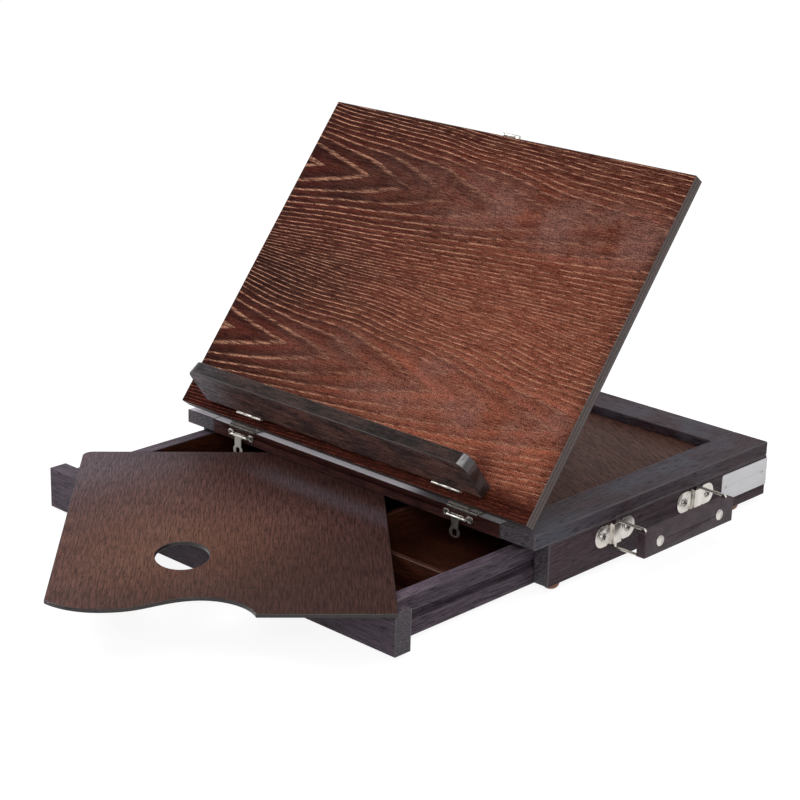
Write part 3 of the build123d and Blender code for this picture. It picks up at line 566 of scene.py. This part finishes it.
def sheen_painted_top(name, turn, axis, low, high):
    """A rail's top with a pale sheen painted on, turning to plain wood from low to high along an
    axis.

    low and high are places in metres along X, axis 0, or Y, axis 1.
    """
    material, graph, shader = new_material(name)
    fibres = fibres_on(graph, board_vector(graph, turn), 0.03, 0.001)
    vector = board_vector(graph, ALONG_X)
    marks = marks_on(graph, graph.stretch(vector, (0.3, 1, 1)), 0.02)
    sheen_fade = graph.spread(graph.split(vector)[axis], low, high)
    # Painted sheen: pale patches where the rail's top reflects the light
    pale = graph.blend(marks["Patch"], *RAIL_SHEEN)
    plain = graph.blend(fibres["Streak"], *RAIL_PLAIN)
    color = graph.blend(graph.times(sheen_fade, 0.92), pale, plain)
    roughness = graph.times_plus(marks["Speck"], 0.1, 0.3)
    coat = graph.times_plus(sheen_fade, -0.8, 1.0)
    wire(graph, shader, Base_Color=color, Roughness=roughness, Specular_IOR_Level=0.3)
    wire(graph, shader, Coat_Weight=coat, Coat_Roughness=0.12)
    return material


def end_grain(name, colors, turn):
    """Sawn ends: short specks and arcs instead of streaks, greyer than the faces."""
    dark, light = colors
    material, graph, shader = new_material(name)
    vector = board_vector(graph, turn)
    fibres = fibres_on(graph, vector, 0.0016, 0.0011)
    lean = graph.add("ShaderNodeMapping", {"Vector": vector, "Rotation": (0.45, 0.0, 0.0)})
    arcs = graph.noise(graph.stretch(lean.outputs[0], (0.0, 1.0, 6.0)), 210.0, 1.0, 0.5)
    arcs = graph.spread(arcs, 0.35, 0.65)
    tone = graph.times_plus(arcs, 0.5, graph.times(fibres["Streak"], 0.45))
    color = graph.blend(tone, dark, light)
    color = graph.blend(graph.times(fibres["Pores"], PORE_AMOUNT), color, shade(dark, 0.5))
    normal = graph.bump(fibres["Streak"], 0.1 * MM, 0.6)
    wire(graph, shader, Base_Color=color, Roughness=0.55, Specular_IOR_Level=0.3, Normal=normal)
    return material


def figured_panel(name):
    """Red-brown flat-sawn veneer whose rings carry pale wood in their open pores."""
    material, graph, shader = new_material(name)
    vector = panel_vector(graph)
    stacks = {"Vector": vector, "Centre": 0.0795, "Half": 0.083, "Points": 16.5}
    figure = graph.place(FIGURE, stacks)
    fibres = fibres_on(graph, vector, 0.014, 0.001)
    marks = marks_on(graph, vector, 0.045)
    across, slope, out = graph.split(vector)

    # Where the face is warm with a painted pool of light, where it darkens at its rim, and the
    # painted shadow under and beside the ledge; below the ledge this is partly dark stain
    rightward = graph.spread(across, -0.2, 0.1)
    lower = graph.spread(slope, 0.3, 0.02, kind="LINEAR")
    # Painted light: a warm pool, brightest low down and to the right
    light_pool = graph.times(rightward, graph.times_plus(lower, 0.6, 0.4))
    sides = graph.spread(graph.math("ABSOLUTE", across), 0.182, 0.2)
    rim = graph.larger(sides, graph.spread(slope, 0.28, 0.31))
    past_ledge = graph.distance(across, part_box("ledge")[1][0])
    # Painted shadow of the ledge beside its right end
    shade_past_ledge = graph.spread(past_ledge, 0.026, 0.002, 0.0, 0.8)
    shade_past_ledge = graph.times(shade_past_ledge, graph.spread(slope, 0.062, 0.028))
    # Below the ledge: partly dark stain, partly painted shadow
    ledge_shade = graph.larger(graph.spread(slope, 0.036, 0.012), shade_past_ledge)
    ledge_shade = graph.times(ledge_shade, graph.spread(out, 4 * MM, 8 * MM))

    ground = graph.blend(fibres["Cloud"], PANEL_DARK, PANEL_MID)
    glow = graph.blend(lower, PANEL_POOL_WARM, PANEL_POOL_GLOW)
    ground = graph.blend(graph.times(light_pool, 0.76), ground, glow)
    ground = graph.blend(graph.times(figure["Cell"], 0.3), ground, PANEL_DARK)
    depth = graph.spread(figure["Ring"], 0.1, 0.6)
    soaked = graph.times_plus(rightward, -0.3, 0.66)
    hollow = graph.blend(graph.times(depth, soaked), ground, shade(PANEL_DARK, 0.75))
    glint = graph.times(graph.times(figure["Broad"], rightward), marks["Patch"])
    hollow = graph.blend(graph.times(glint, 0.45), hollow, PANEL_GLINT)
    hollow = graph.blend(graph.times(rim, 0.55), hollow, shade(PANEL_DARK, 0.8))
    hollow = graph.blend(graph.times(ledge_shade, 0.88), hollow, PANEL_DARK)

    # The pale lines: broken into dashes, fading to the right and at the tips of the points
    rising = graph.spread(figure["Ring"], 0.67, 0.87)
    falling = graph.spread(figure["Ring"], 1.0, 0.95)
    dashes = graph.spread(fibres["Streak"], 0.2, 0.7, 0.25, 1.0)
    fade = graph.spread(across, -0.19, 0.1, 0.85, 0.62)
    tips = graph.times(figure["Broad"], graph.spread(across, -0.15, -0.06, 0.2, 0.75))
    strength = graph.times(graph.times(graph.times(rising, falling), dashes), fade)
    strength = graph.times(strength, graph.minus(1.0, tips))
    fine = graph.times_plus(rightward, 0.16, 0.1)
    strength = graph.times_plus(graph.minus(dashes, 0.5), fine, strength)
    color = graph.blend(strength, hollow, graph.blend(ledge_shade, PANEL_PALE, PANEL_SHADED_LINES))
    pores = graph.times(fibres["Pores"], PORE_AMOUNT)
    color = graph.blend(pores, color, shade(PANEL_DARK, 0.4))
    grit = graph.spread(marks["Speck"], 0.0, 1.0, 0.55, 1.4)
    color = graph.blend(1.0, color, grit, kind="MULTIPLY")

    height = graph.minus(graph.times(fibres["Streak"], 0.5), strength)
    roughness = graph.times_plus(strength, 0.12, 0.5)
    wire(graph, shader, Base_Color=color, Roughness=roughness, Specular_IOR_Level=0.02)
    wire(graph, shader, Normal=graph.bump(height, 0.15 * MM, 0.9))
    return material


def ply_edge(name, colors):
    """The panel's edge: grey-brown plies with a dark glue line between them."""
    dark, light = colors
    material, graph, shader = new_material(name)
    vector = panel_vector(graph)
    layer = graph.math("FRACT", graph.math("DIVIDE", graph.split(vector)[2], PLY_THICKNESS))
    seam = graph.spread(graph.distance(layer, 0.5), 0.06, 0.16)
    fibres = fibres_on(graph, vector, 0.01, 0.0012)
    color = graph.blend(fibres["Streak"], shade(light, 0.55), light)
    color = graph.blend(seam, dark, color)
    normal = graph.bump(graph.times_plus(fibres["Streak"], 0.4, seam), 0.1 * MM, 0.6)
    wire(graph, shader, Base_Color=color, Roughness=0.5, Specular_IOR_Level=0.3, Normal=normal)
    return material


# ---------------------------------------------------------------- metal, leather and rubber

NICKEL = (0.72, 0.68, 0.63, 1)
NICKEL_DARK = (0.6, 0.56, 0.51, 1)
# A duller, half-metallic plating for the left tongue, so that it reads as lit
NICKEL_TONGUE_LIT = (0.66, 0.62, 0.57, 1)
# Darker dome screws, as painted shade
NICKEL_SHADED = (0.38, 0.355, 0.33, 1)
# Dark hinge leaves, as painted shade
NICKEL_SHADOWED = (0.2, 0.18, 0.165, 1)
# Dark screw recesses, as painted shade
RECESS_SHADE = (0.09, 0.08, 0.075, 1)
PLATE_SILVER = (0.7, 0.69, 0.71, 1), (0.86, 0.85, 0.88, 1)
LEATHER = (0.042, 0.021, 0.029, 1), (0.08, 0.05, 0.062, 1)
# Creases painted darker, as shade
LEATHER_CREASE_SHADE = (0.014, 0.008, 0.01, 1)
RUBBER = (0.19, 0.055, 0.02, 1), (0.3, 0.1, 0.035, 1)
RUBBER_DUST = (0.3, 0.22, 0.16, 1)


def plated_metal(name, tint, rough=0.24, metallic=1.0):
    """Bright plated steel with faint rolling marks, duller patches and a fine orange-peel skin."""
    material, graph, shader = new_material(name)
    vector = board_vector(graph)
    fibres = fibres_on(graph, vector, 0.012, 0.0005)
    marks = marks_on(graph, vector, 0.009)
    roughness = graph.times_plus(marks["Patch"], 0.12, rough)
    roughness = graph.times_plus(fibres["Streak"], 0.05, roughness)
    color = graph.blend(graph.times(marks["Patch"], 0.4), tint, shade(tint, 0.78))
    wire(graph, shader, Base_Color=color, Metallic=metallic, Roughness=roughness)
    wire(graph, shader, Normal=graph.bump(marks["Speck"], 0.006 * MM, 0.4))
    return material


def lacquered_plate(name):
    """Silver-white lacquered sheet with a fine brushed grain along its length."""
    material, graph, shader = new_material(name)
    vector = board_vector(graph, ALONG_Y)
    fibres = fibres_on(graph, vector, 0.03, 0.0003)
    marks = marks_on(graph, vector, 0.02)
    color = graph.blend(fibres["Streak"], *PLATE_SILVER)
    roughness = graph.times_plus(marks["Patch"], 0.1, 0.3)
    wire(graph, shader, Base_Color=color, Metallic=0.3, Roughness=roughness)
    wire(graph, shader, Normal=graph.bump(fibres["Streak"], 0.02 * MM, 0.3))
    return material


def coated_leather(name):
    """Dark plum-brown coated leather, pebbled, creased and slightly shiny."""
    material, graph, shader = new_material(name)
    vector = board_vector(graph, ALONG_Y)
    pebble = graph.place(PEBBLE, {"Vector": vector, "Size": 0.0009})
    marks = marks_on(graph, vector, 0.012)
    color = graph.blend(marks["Patch"], *LEATHER)
    # The creases are painted darker as shade
    color = graph.blend(graph.times(pebble["Crease"], 0.4), color, LEATHER_CREASE_SHADE)
    roughness = graph.times_plus(pebble["Crease"], 0.15, 0.45)
    wire(graph, shader, Base_Color=color, Roughness=roughness, Specular_IOR_Level=0.35)
    wire(graph, shader, Normal=graph.bump(pebble["Height"], 0.08 * MM, 0.7))
    return material


def foot_rubber(name):
    """Amber-brown rubber with a slight mottle and dust in its skin."""
    material, graph, shader = new_material(name)
    marks = marks_on(graph, board_vector(graph), 0.004)
    color = graph.blend(marks["Patch"], *RUBBER)
    color = graph.blend(graph.times(marks["Speck"], 0.2), color, RUBBER_DUST)
    roughness = graph.times_plus(marks["Patch"], 0.15, 0.35)
    wire(graph, shader, Base_Color=color, Roughness=roughness)
    wire(graph, shader, Normal=graph.bump(marks["Speck"], 0.04 * MM, 0.4))
    return material


# ---------------------------------------------------------------- the finishes in use

case_x = stained_wood("case wood along x", CASE_WOOD, ALONG_X)
case_y = stained_wood("case wood along y", CASE_WOOD, ALONG_Y)
# The rails carry painted blue-grey sheen in patches
rail_x = stained_wood("rail wood along x", CASE_WOOD, ALONG_X, painted_sheen=CASE_SHEEN)
rail_y = stained_wood("rail wood along y", CASE_WOOD, ALONG_Y, painted_sheen=CASE_SHEEN)
drawer_x = stained_wood("drawer front wood", DRAWER_WOOD, ALONG_X)
drawer_y = stained_wood("drawer side wood", DRAWER_WOOD, ALONG_Y)
front_x = stained_wood("front rail wood", FRONT_WOOD, ALONG_X)
# Painted sheen on the front rail's top and on the front of the left rail's top
front_sheen_top = sheen_painted_top("front rail top", ALONG_X, axis=0, low=0.035, high=0.07)
left_sheen_top = sheen_painted_top("left rail top", ALONG_Y, axis=1, low=-0.005, high=0.06)
case_arris_x = rubbed_and_highlit_edge("case arris along x", CASE_ARRIS, ALONG_X)
case_arris_y = rubbed_and_highlit_edge("case arris along y", CASE_ARRIS, ALONG_Y)
case_end_x = end_grain("case end grain of x boards", SAWN_WOOD, ALONG_X)
case_end_y = end_grain("case end grain of y boards", SAWN_WOOD, ALONG_Y)
inner_x = stained_wood("inner wood along x", INNER_WOOD, ALONG_X, 0.02, 0.0012, coat=0.1)
inner_y = stained_wood("inner wood along y", INNER_WOOD, ALONG_Y, 0.02, 0.0012, coat=0.1)
inner_arris = rubbed_and_highlit_edge("inner arris", INNER_ARRIS, ALONG_X, coat=0.2)
recess_wood = stained_wood("recess board", RECESS_WOOD, RECESS_GRAIN, 0.022, 0.0017, coat=0.04)
panel_face = figured_panel("panel veneer")
panel_edge = ply_edge("panel edge plies", PANEL_PLIES)
panel_arris = rubbed_and_highlit_edge("panel arris", PANEL_ARRIS, PANEL_GRAIN)
# The broad face is painted lighter and the upper edge painted darker, for how light falls on each
ledge_face = mottled_ledge("ledge face", 3.9)
ledge_rim = mottled_ledge("ledge upper edge", 0.7)
ledge_arris = rubbed_and_highlit_edge("ledge arris", LEDGE_ARRIS, LEDGE_GRAIN, coat=0.3)
ledge_end = ledge_end_and_highlight("ledge end with painted highlight")
prop_wood = stained_wood("prop wood", PROP_WOOD, PROP_GRAIN, 0.02, 0.001)
palette_wood = flecked_palette("palette wood")
palette_edge = rubbed_and_highlit_edge("palette edge", PALETTE_EDGE, PALETTE_GRAIN, coat=0.3)
nickel = plated_metal("plated hardware", NICKEL)
nickel_dark = plated_metal("pins and screws", NICKEL_DARK, rough=0.28)
nickel_lit_tongue = plated_metal("latch tongue plated to look lit", NICKEL_TONGUE_LIT, rough=0.4, metallic=0.35)
nickel_shaded = plated_metal("dome screws darkened as shade", NICKEL_SHADED, rough=0.2)
nickel_shadowed = plated_metal("hinge leaves darkened as shade", NICKEL_SHADOWED, rough=0.45)
recess_shade = plated_metal("screw recess in painted shade", RECESS_SHADE, rough=0.5)
leather = coated_leather("grip leather")
rubber = foot_rubber("foot rubber")
plate_finish = lacquered_plate("name plate finish")

# ---------------------------------------------------------------- boards

# The order of a board's finishes
ARRISES, ENDS = 1, 2

# How squarely a face looks along a direction, and how little a rim's face does
LOOKS_ALONG = 0.9
LOOKS_ASIDE = 0.7


def carry(piece, node, body, angle=35.0):
    """Shade a finished piece, hide the CAD node it stands for, and give it its body."""
    take(piece)
    bpy.ops.object.shade_smooth_by_angle(angle=radians(angle))
    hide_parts(node)
    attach(piece, body)


def finish_piece(piece, node, body, material, angle=35.0):
    """Give a piece a single finish and carry it."""
    piece.data.materials.clear()
    piece.data.materials.append(material)
    carry(piece, node, body, angle)


def board(
    node,
    body,
    materials,
    grain=RIGHT,
    edge=0.7,
    shortest=6.0,
    sawn=LOOKS_ALONG,
    broad=None,
    inward=None,
):
    """A board on its CAD shape, with its arrises eased.

    materials are the finishes of its faces, its arrises and its sawn ends. The last of them is
    also for the faces that look the inward way and, where broad gives the direction that the
    board's face looks in, for its rim. sawn is how squarely a face meets the grain to be an end.
    edge is the size of an arris and shortest the length from which an edge is eased, in mm.
    """
    piece = cad_copy(node, node + "_board")
    for material in materials:
        piece.data.materials.append(material)
    shape = edit(piece)
    for face in shape.faces:
        in_rim = broad is not None and abs(face.normal.dot(broad)) < LOOKS_ASIDE
        looks_inward = inward is not None and face.normal.dot(inward) > LOOKS_ALONG
        if abs(face.normal.dot(grain)) > sawn:
            face.material_index = ENDS
        elif in_rim or looks_inward:
            face.material_index = len(materials) - 1
    bmesh.update_edit_mesh(piece.data)
    bpy.ops.mesh.select_mode(type="EDGE")
    pick(shape.edges, piece, lambda e: is_sharp(e) and e.calc_length() > shortest * MM)
    bpy.ops.mesh.bevel(
        offset=edge * MM, segments=2, affect="EDGES", clamp_overlap=False, material=ARRISES
    )
    leave_edit()
    carry(piece, node, body, angle=25.0)


x_board = (case_x, case_arris_x, case_end_x)
y_board = (case_y, case_arris_y, case_end_y)
x_rail = (rail_x, case_arris_x, case_end_x)
y_rail = (rail_y, case_arris_y, case_end_y)
front_rail = (front_x, case_arris_x, case_end_x, front_sheen_top)
x_drawer = (drawer_x, case_arris_x, case_end_x, inner_x)
y_drawer = (drawer_y, case_arris_y, case_end_y, inner_y)
x_inner = (inner_x, inner_arris, inner_x)
y_inner = (inner_y, inner_arris, inner_y)
recess = (recess_wood, inner_arris, recess_wood)
prop = (prop_wood, case_arris_y, case_end_y)
panel = (panel_face, panel_arris, panel_edge)
ledge = (ledge_face, ledge_arris, ledge_end, ledge_rim)
palette = (palette_wood, palette_edge, palette_edge)

board("front_rail", "case", front_rail, edge=0.4, inward=UP)
board("back_rail", "case", x_rail, edge=1.0)
board("left_rail", "case", y_rail + (left_sheen_top,), BACK, edge=1.0, inward=UP)
board("right_rail", "case", y_rail, BACK, edge=1.0)
board("left_wall", "case", y_board, BACK)
board("right_wall", "case", y_board, BACK)
board("back_wall", "case", x_board)
board("recess_board", "case", recess, edge=0.2)
board("drawer_runners", "case", y_board, BACK, edge=0.4)
board("prop_rack", "case", prop, BACK, edge=0.15, shortest=1.5)

board("drawer_front", "drawer", x_drawer, inward=BACK)
board("drawer_back", "drawer", x_drawer, inward=-BACK)
board("drawer_left_side", "drawer", y_drawer, BACK, inward=RIGHT)
board("drawer_right_side", "drawer", y_drawer, BACK, inward=-RIGHT)
board("drawer_floor", "drawer", x_inner, edge=0.2)
board("cross_divider", "drawer", x_inner, edge=0.5)
board("short_dividers", "drawer", y_inner, BACK, edge=0.5)

board("easel_panel", "panel", panel, edge=0.6, broad=ON_PANEL @ UP)
board(
    "ledge",
    "ledge",
    ledge,
    edge=0.6,
    shortest=0.5,
    sawn=0.2,
    broad=ON_LEDGE @ UP,
)
board("prop_leg", "prop", prop, BACK, edge=0.4)
board("palette", "palette", palette, edge=0.5, shortest=0.3, broad=UP)

# ---------------------------------------------------------------- turned and sheet hardware

# The cross recess of a screw, as parts of its head's radius
RECESS_REACH = 0.72
RECESS_DEPTH = 0.45

# As parts of the recess's reach: half an arm's width, and how far the cutter stands proud
ARM_HALF_WIDTH = 0.2
CUTTER_PROUD = 0.08
RECESS_TAPER = 0.75

# How each screw of a row happens to be turned, in degrees
FIRST_SPIN = 23.0
NEXT_SPIN = 67.0


def turned_part(node, body, material):
    """A turned or bent piece on its CAD shape, shaded round."""
    piece = cad_copy(node, node + "_finish", flatten=False)
    finish_piece(piece, node, body, material)


def sheet_part(node, body, metal=nickel):
    """A stamped piece on its CAD shape with its cut edges broken so that they catch the light."""
    piece = cad_copy(node, node + "_sheet")
    take(piece)
    bevel = piece.modifiers.new("broken edges", "BEVEL")
    bevel.width = 0.14 * MM
    bevel.segments = 2
    bevel.limit_method = "ANGLE"
    bevel.angle_limit = radians(50.0)
    bevel.use_clamp_overlap = True
    bpy.ops.object.modifier_apply(modifier=bevel.name)
    finish_piece(piece, node, body, metal)


def islands(piece):
    """The separate solids of a piece, each as a list of its corner places."""
    shape = bmesh.new()
    shape.from_mesh(piece.data)
    left = set(shape.verts)
    groups = []
    for first in shape.verts:
        if first not in left:
            continue
        left.remove(first)
        ready = [first]
        group = []
        while ready:
            corner = ready.pop()
            group.append(corner.co.copy())
            for edge in corner.link_edges:
                other = edge.other_vert(corner)
                if other in left:
                    left.remove(other)
                    ready.append(other)
        groups.append(group)
    shape.free()
    return groups


def cross_cutter(place, outward, reach, depth, spin):
    """A tapered plus-shaped plug that points down into a screw head, finished as its recess."""
    bpy.ops.mesh.primitive_grid_add(x_subdivisions=5, y_subdivisions=5, size=2 * reach)
    cutter = bpy.context.active_object
    cutter.data.materials.append(nickel)
    # The recess is finished dark as painted shade
    cutter.data.materials.append(recess_shade)
    shape = edit(cutter)

    def beside_arms(face):
        middle = face.calc_center_median()
        return min(abs(middle.x), abs(middle.y)) > reach * ARM_HALF_WIDTH

    pick(shape.faces, cutter, beside_arms)
    bpy.ops.mesh.delete(type="FACE")
    bpy.ops.mesh.select_all(action="SELECT")
    bpy.ops.mesh.extrude_region_move(TRANSFORM_OT_translate={"value": (0, 0, -depth)})
    bpy.ops.transform.resize(
        value=(RECESS_TAPER, RECESS_TAPER, 1.0), center_override=(0, 0, -depth)
    )
    bpy.ops.mesh.select_all(action="SELECT")
    bpy.ops.mesh.normals_make_consistent(inside=False)
    cutter.active_material_index = 1
    bpy.ops.object.material_slot_assign()
    leave_edit()
    cutter.location = place + outward * reach * CUTTER_PROUD
    turn = outward.to_track_quat("Z", "Y").to_matrix().to_4x4()
    cutter.rotation_euler = (turn @ Matrix.Rotation(radians(spin), 4, "Z")).to_euler()
    settle(cutter)
    return cutter


def cut_away(piece, cutter):
    """Take one solid out of another and drop the cutter."""
    take(piece)
    cut = piece.modifiers.new("recess", "BOOLEAN")
    cut.operation = "DIFFERENCE"
    cut.solver = "EXACT"
    cut.object = cutter
    bpy.ops.object.modifier_apply(modifier=cut.name)
    bpy.data.objects.remove(cutter)


def outermost(corners, outward, within):
    """The corners of a screw that lie furthest out along one way, down to a depth."""
    top = max(corner.dot(outward) for corner in corners)
    return [corner for corner in corners if corner.dot(outward) > top - within]


def screws(node, body, outwards, head_radius, metal=nickel):
    """Screws on their CAD shapes, each with a cross recess turned its own way.

    outwards are the ways that their heads may look; a screw's head is where its outermost layer
    has the most corners. head_radius is in mm.
    """
    piece = cad_copy(node, node + "_driven")
    piece.data.materials.append(metal)
    piece.data.materials.append(recess_shade)
    for number, corners in enumerate(islands(piece)):
        outward = max(outwards, key=lambda way: len(outermost(corners, way, 0.02 * MM)))
        head = outermost(corners, outward, 0.05 * MM)
        cutter = cross_cutter(
            sum(head, Vector()) / len(head),
            outward,
            head_radius * RECESS_REACH * MM,
            head_radius * RECESS_DEPTH * MM,
            FIRST_SPIN + NEXT_SPIN * number,
        )
        cut_away(piece, cutter)
    carry(piece, node, body, angle=30.0)


panel_ways = [ON_PANEL @ UP, ON_PANEL @ -UP, ON_PANEL @ BACK]

# The dome screws get a darker metal as painted shade
screws("handle_screws", "case", [RIGHT], 3.8, nickel_shaded)
screws("latch_screws", "case", [-BACK], 1.5)
screws("catch_hook_screws", "case", [BACK], 1.5)
screws("rail_hinge_screws", "case", [UP], 2.4)
screws("foot_screws", "case", [-UP], 2.4)
screws("panel_hinge_screws", "panel", [ON_PANEL @ -UP], 2.4)
screws("panel_small_screws", "panel", panel_ways, 1.5)
screws("ledge_screws", "ledge", [ON_LEDGE @ -BACK], 1.5)
screws("prop_screws", "prop", [ON_LEG @ UP], 1.5)
screws("latch_hook_screws", "drawer", [-BACK], 1.5)

for node in ("latch_leaves", "handle_plate_near", "handle_plate_far", "catch_hook"):
    sheet_part(node, "case")
for node in ("panel_ledge_leaves", "panel_prop_leaf", "catch_leaf"):
    sheet_part(node, "panel")
# The hinge leaves get a dark metal as painted shade, leaving their pins bright
sheet_part("rail_hinge_leaves", "case", nickel_shadowed)
sheet_part("panel_hinge_leaves", "panel", nickel_shadowed)
sheet_part("ledge_hinge_leaves", "ledge")
sheet_part("prop_hinge_leaf", "prop")
sheet_part("latch_hooks", "drawer")
# Painted light: the left tongue alone gets this copy of the plating so that it reads as lit
sheet_part("left_latch_tongue", "left_tongue", nickel_lit_tongue)
sheet_part("right_latch_tongue", "right_tongue")
sheet_part("catch_tongue", "catch_tongue")

for node in ("hinge_pins", "latch_pins", "name_plate_nails"):
    turned_part(node, "case", nickel_dark)
for node in ("ledge_hinge_pins", "prop_hinge_pin", "catch_pin"):
    turned_part(node, "panel", nickel_dark)
turned_part("near_ring", "near_ring", nickel)
turned_part("far_ring", "far_ring", nickel)
turned_part("grip_rivets", "grip", nickel)
turned_part("feet", "case", rubber)
turned_part("prop_foot", "prop", prop_wood)


def name_plate():
    """The bare plate, its edges just broken."""
    piece = cad_copy("name_plate", "name_plate_sheet")
    shape = edit(piece, "EDGE")
    pick(shape.edges, piece, is_sharp)
    bpy.ops.mesh.bevel(offset=0.15 * MM, segments=2, affect="EDGES", clamp_overlap=True)
    leave_edit()
    finish_piece(piece, "name_plate", "case", plate_finish)


# The seam pressed into each side of the grip
SEAM_WIDTH = 0.5 * MM
SEAM_DEPTH = 0.7 * MM
SEAM_CLEAR = 10.0 * MM


def grip():
    """The strap folded over both rings: eased edges and the seam between its rivets."""
    piece = cad_copy("grip", "grip_strap")
    shape = edit(piece, "EDGE")
    pick(shape.edges, piece, lambda e: is_sharp(e) and e.calc_length() > 6.0 * MM)
    bpy.ops.mesh.bevel(offset=1.1 * MM, segments=3, affect="EDGES", clamp_overlap=True)
    leave_edit()
    low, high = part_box("grip")
    rivet_low, rivet_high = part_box("grip_rivets")
    head = 2 * (rivet_high[0] - high[0]) + SEAM_CLEAR
    start, end = rivet_low[1] + head, rivet_high[1] - head
    for side in (low[0], high[0]):
        place = (side, (start + end) / 2, (low[2] + high[2]) / 2)
        bpy.ops.mesh.primitive_cube_add(size=1.0, location=place)
        seam = bpy.context.active_object
        seam.scale = (2 * SEAM_DEPTH, end - start, SEAM_WIDTH)
        settle(seam)
        cut_away(piece, seam)
    finish_piece(piece, "grip", "grip", leather, angle=40.0)


name_plate()
grip()

# ---------------------------------------------------------------- stage, light and camera

FLOOR_SIZE = 60.0
FLOOR_COLOR = (0.25, 0.25, 0.25, 1)
FLOOR_GLOW = 0.89
WORLD_GLOW = 0.4
WORLD_MIRRORED = 0.6

# Each lamp's name, place, aim, size and power
LAMPS = (
    ("key", (-1.4, -0.74, 1.45), (0, 0, 0.08), (1.2, 1.0), 23.0),
    ("fill", (1.5, -1.3, 1.0), (0, 0, 0.1), (1.4, 1.2), 13.0),
    ("top", (0.3, 0.7, 1.9), (0, 0, 0), (1.6, 1.2), 8.0),
)

# The camera's place in metres, its turns in degrees, and its lens and sensor in mm
CAMERA_PLACE = (1.09707, -1.12348, 0.6532)
CAMERA_TURN = 43.19
CAMERA_RISE = 18.83
CAMERA_ROLL = 1.43
CAMERA_LENS = 92.98
CAMERA_SENSOR = 36.0


def pale_stage():
    """A white floor that keeps soft shadows and reads white to the camera and in reflections."""
    bpy.ops.mesh.primitive_plane_add(size=FLOOR_SIZE, location=(0.0, 0.0, 0.0))
    floor = bpy.context.active_object
    floor.name = "floor"
    material = bpy.data.materials.new("white floor")
    material.use_nodes = True
    material.node_tree.nodes.clear()
    graph = Graph(material.node_tree)
    diffuse = graph.add("ShaderNodeBsdfDiffuse", {"Color": FLOOR_COLOR}).outputs[0]
    path = graph.add("ShaderNodeLightPath").outputs
    seen = graph.larger(path["Is Camera Ray"], path["Is Glossy Ray"])
    lift = graph.times(graph.larger(seen, path["Is Transmission Ray"]), FLOOR_GLOW)
    glow = graph.add("ShaderNodeEmission", {"Strength": lift}).outputs[0]
    both = graph.add("ShaderNodeAddShader", {0: diffuse, 1: glow}).outputs[0]
    graph.add("ShaderNodeOutputMaterial", {"Surface": both})
    floor.data.materials.append(material)


def pale_world():
    """A white surround for the camera and reflections, and a plain level of light on the object."""
    world = bpy.data.worlds.new("studio")
    bpy.context.scene.world = world
    world.use_nodes = True
    world.node_tree.nodes.clear()
    graph = Graph(world.node_tree)
    path = graph.add("ShaderNodeLightPath").outputs
    seen = graph.larger(path["Is Camera Ray"], path["Is Transmission Ray"])
    mirrored = graph.times(path["Is Glossy Ray"], WORLD_MIRRORED)
    strength = graph.larger(graph.larger(seen, mirrored), WORLD_GLOW)
    background = graph.add("ShaderNodeBackground", {"Color": (1, 1, 1, 1), "Strength": strength})
    graph.add("ShaderNodeOutputWorld", {"Surface": background.outputs[0]})


def soft_light(name, place, aim, size, power):
    light = bpy.data.lights.new(name, "AREA")
    light.shape = "RECTANGLE"
    light.size, light.size_y = size
    light.energy = power
    lamp = bpy.data.objects.new(name, light)
    bpy.context.scene.collection.objects.link(lamp)
    lamp.location = place
    lamp.rotation_euler = (Vector(aim) - Vector(place)).to_track_quat("-Z", "Y").to_euler()


def camera():
    turn, rise, roll = radians(CAMERA_TURN), radians(CAMERA_RISE), radians(CAMERA_ROLL)
    back = Vector((sin(turn) * cos(rise), -cos(turn) * cos(rise), sin(rise)))
    right = (-back).cross(UP).normalized()
    up = right.cross(-back)
    right_rolled = cos(roll) * right + sin(roll) * up
    up_rolled = cos(roll) * up - sin(roll) * right
    matrix = Matrix((right_rolled, up_rolled, back)).transposed().to_4x4()
    matrix.translation = Vector(CAMERA_PLACE)
    data = bpy.data.cameras.new("camera")
    data.lens = CAMERA_LENS
    data.sensor_width = CAMERA_SENSOR
    holder = bpy.data.objects.new("camera", data)
    bpy.context.scene.collection.objects.link(holder)
    holder.matrix_world = matrix
    bpy.context.scene.camera = holder


pale_stage()
pale_world()
for lamp in LAMPS:
    soft_light(*lamp)
camera()
bpy.context.scene.view_settings.view_transform = "Standard"
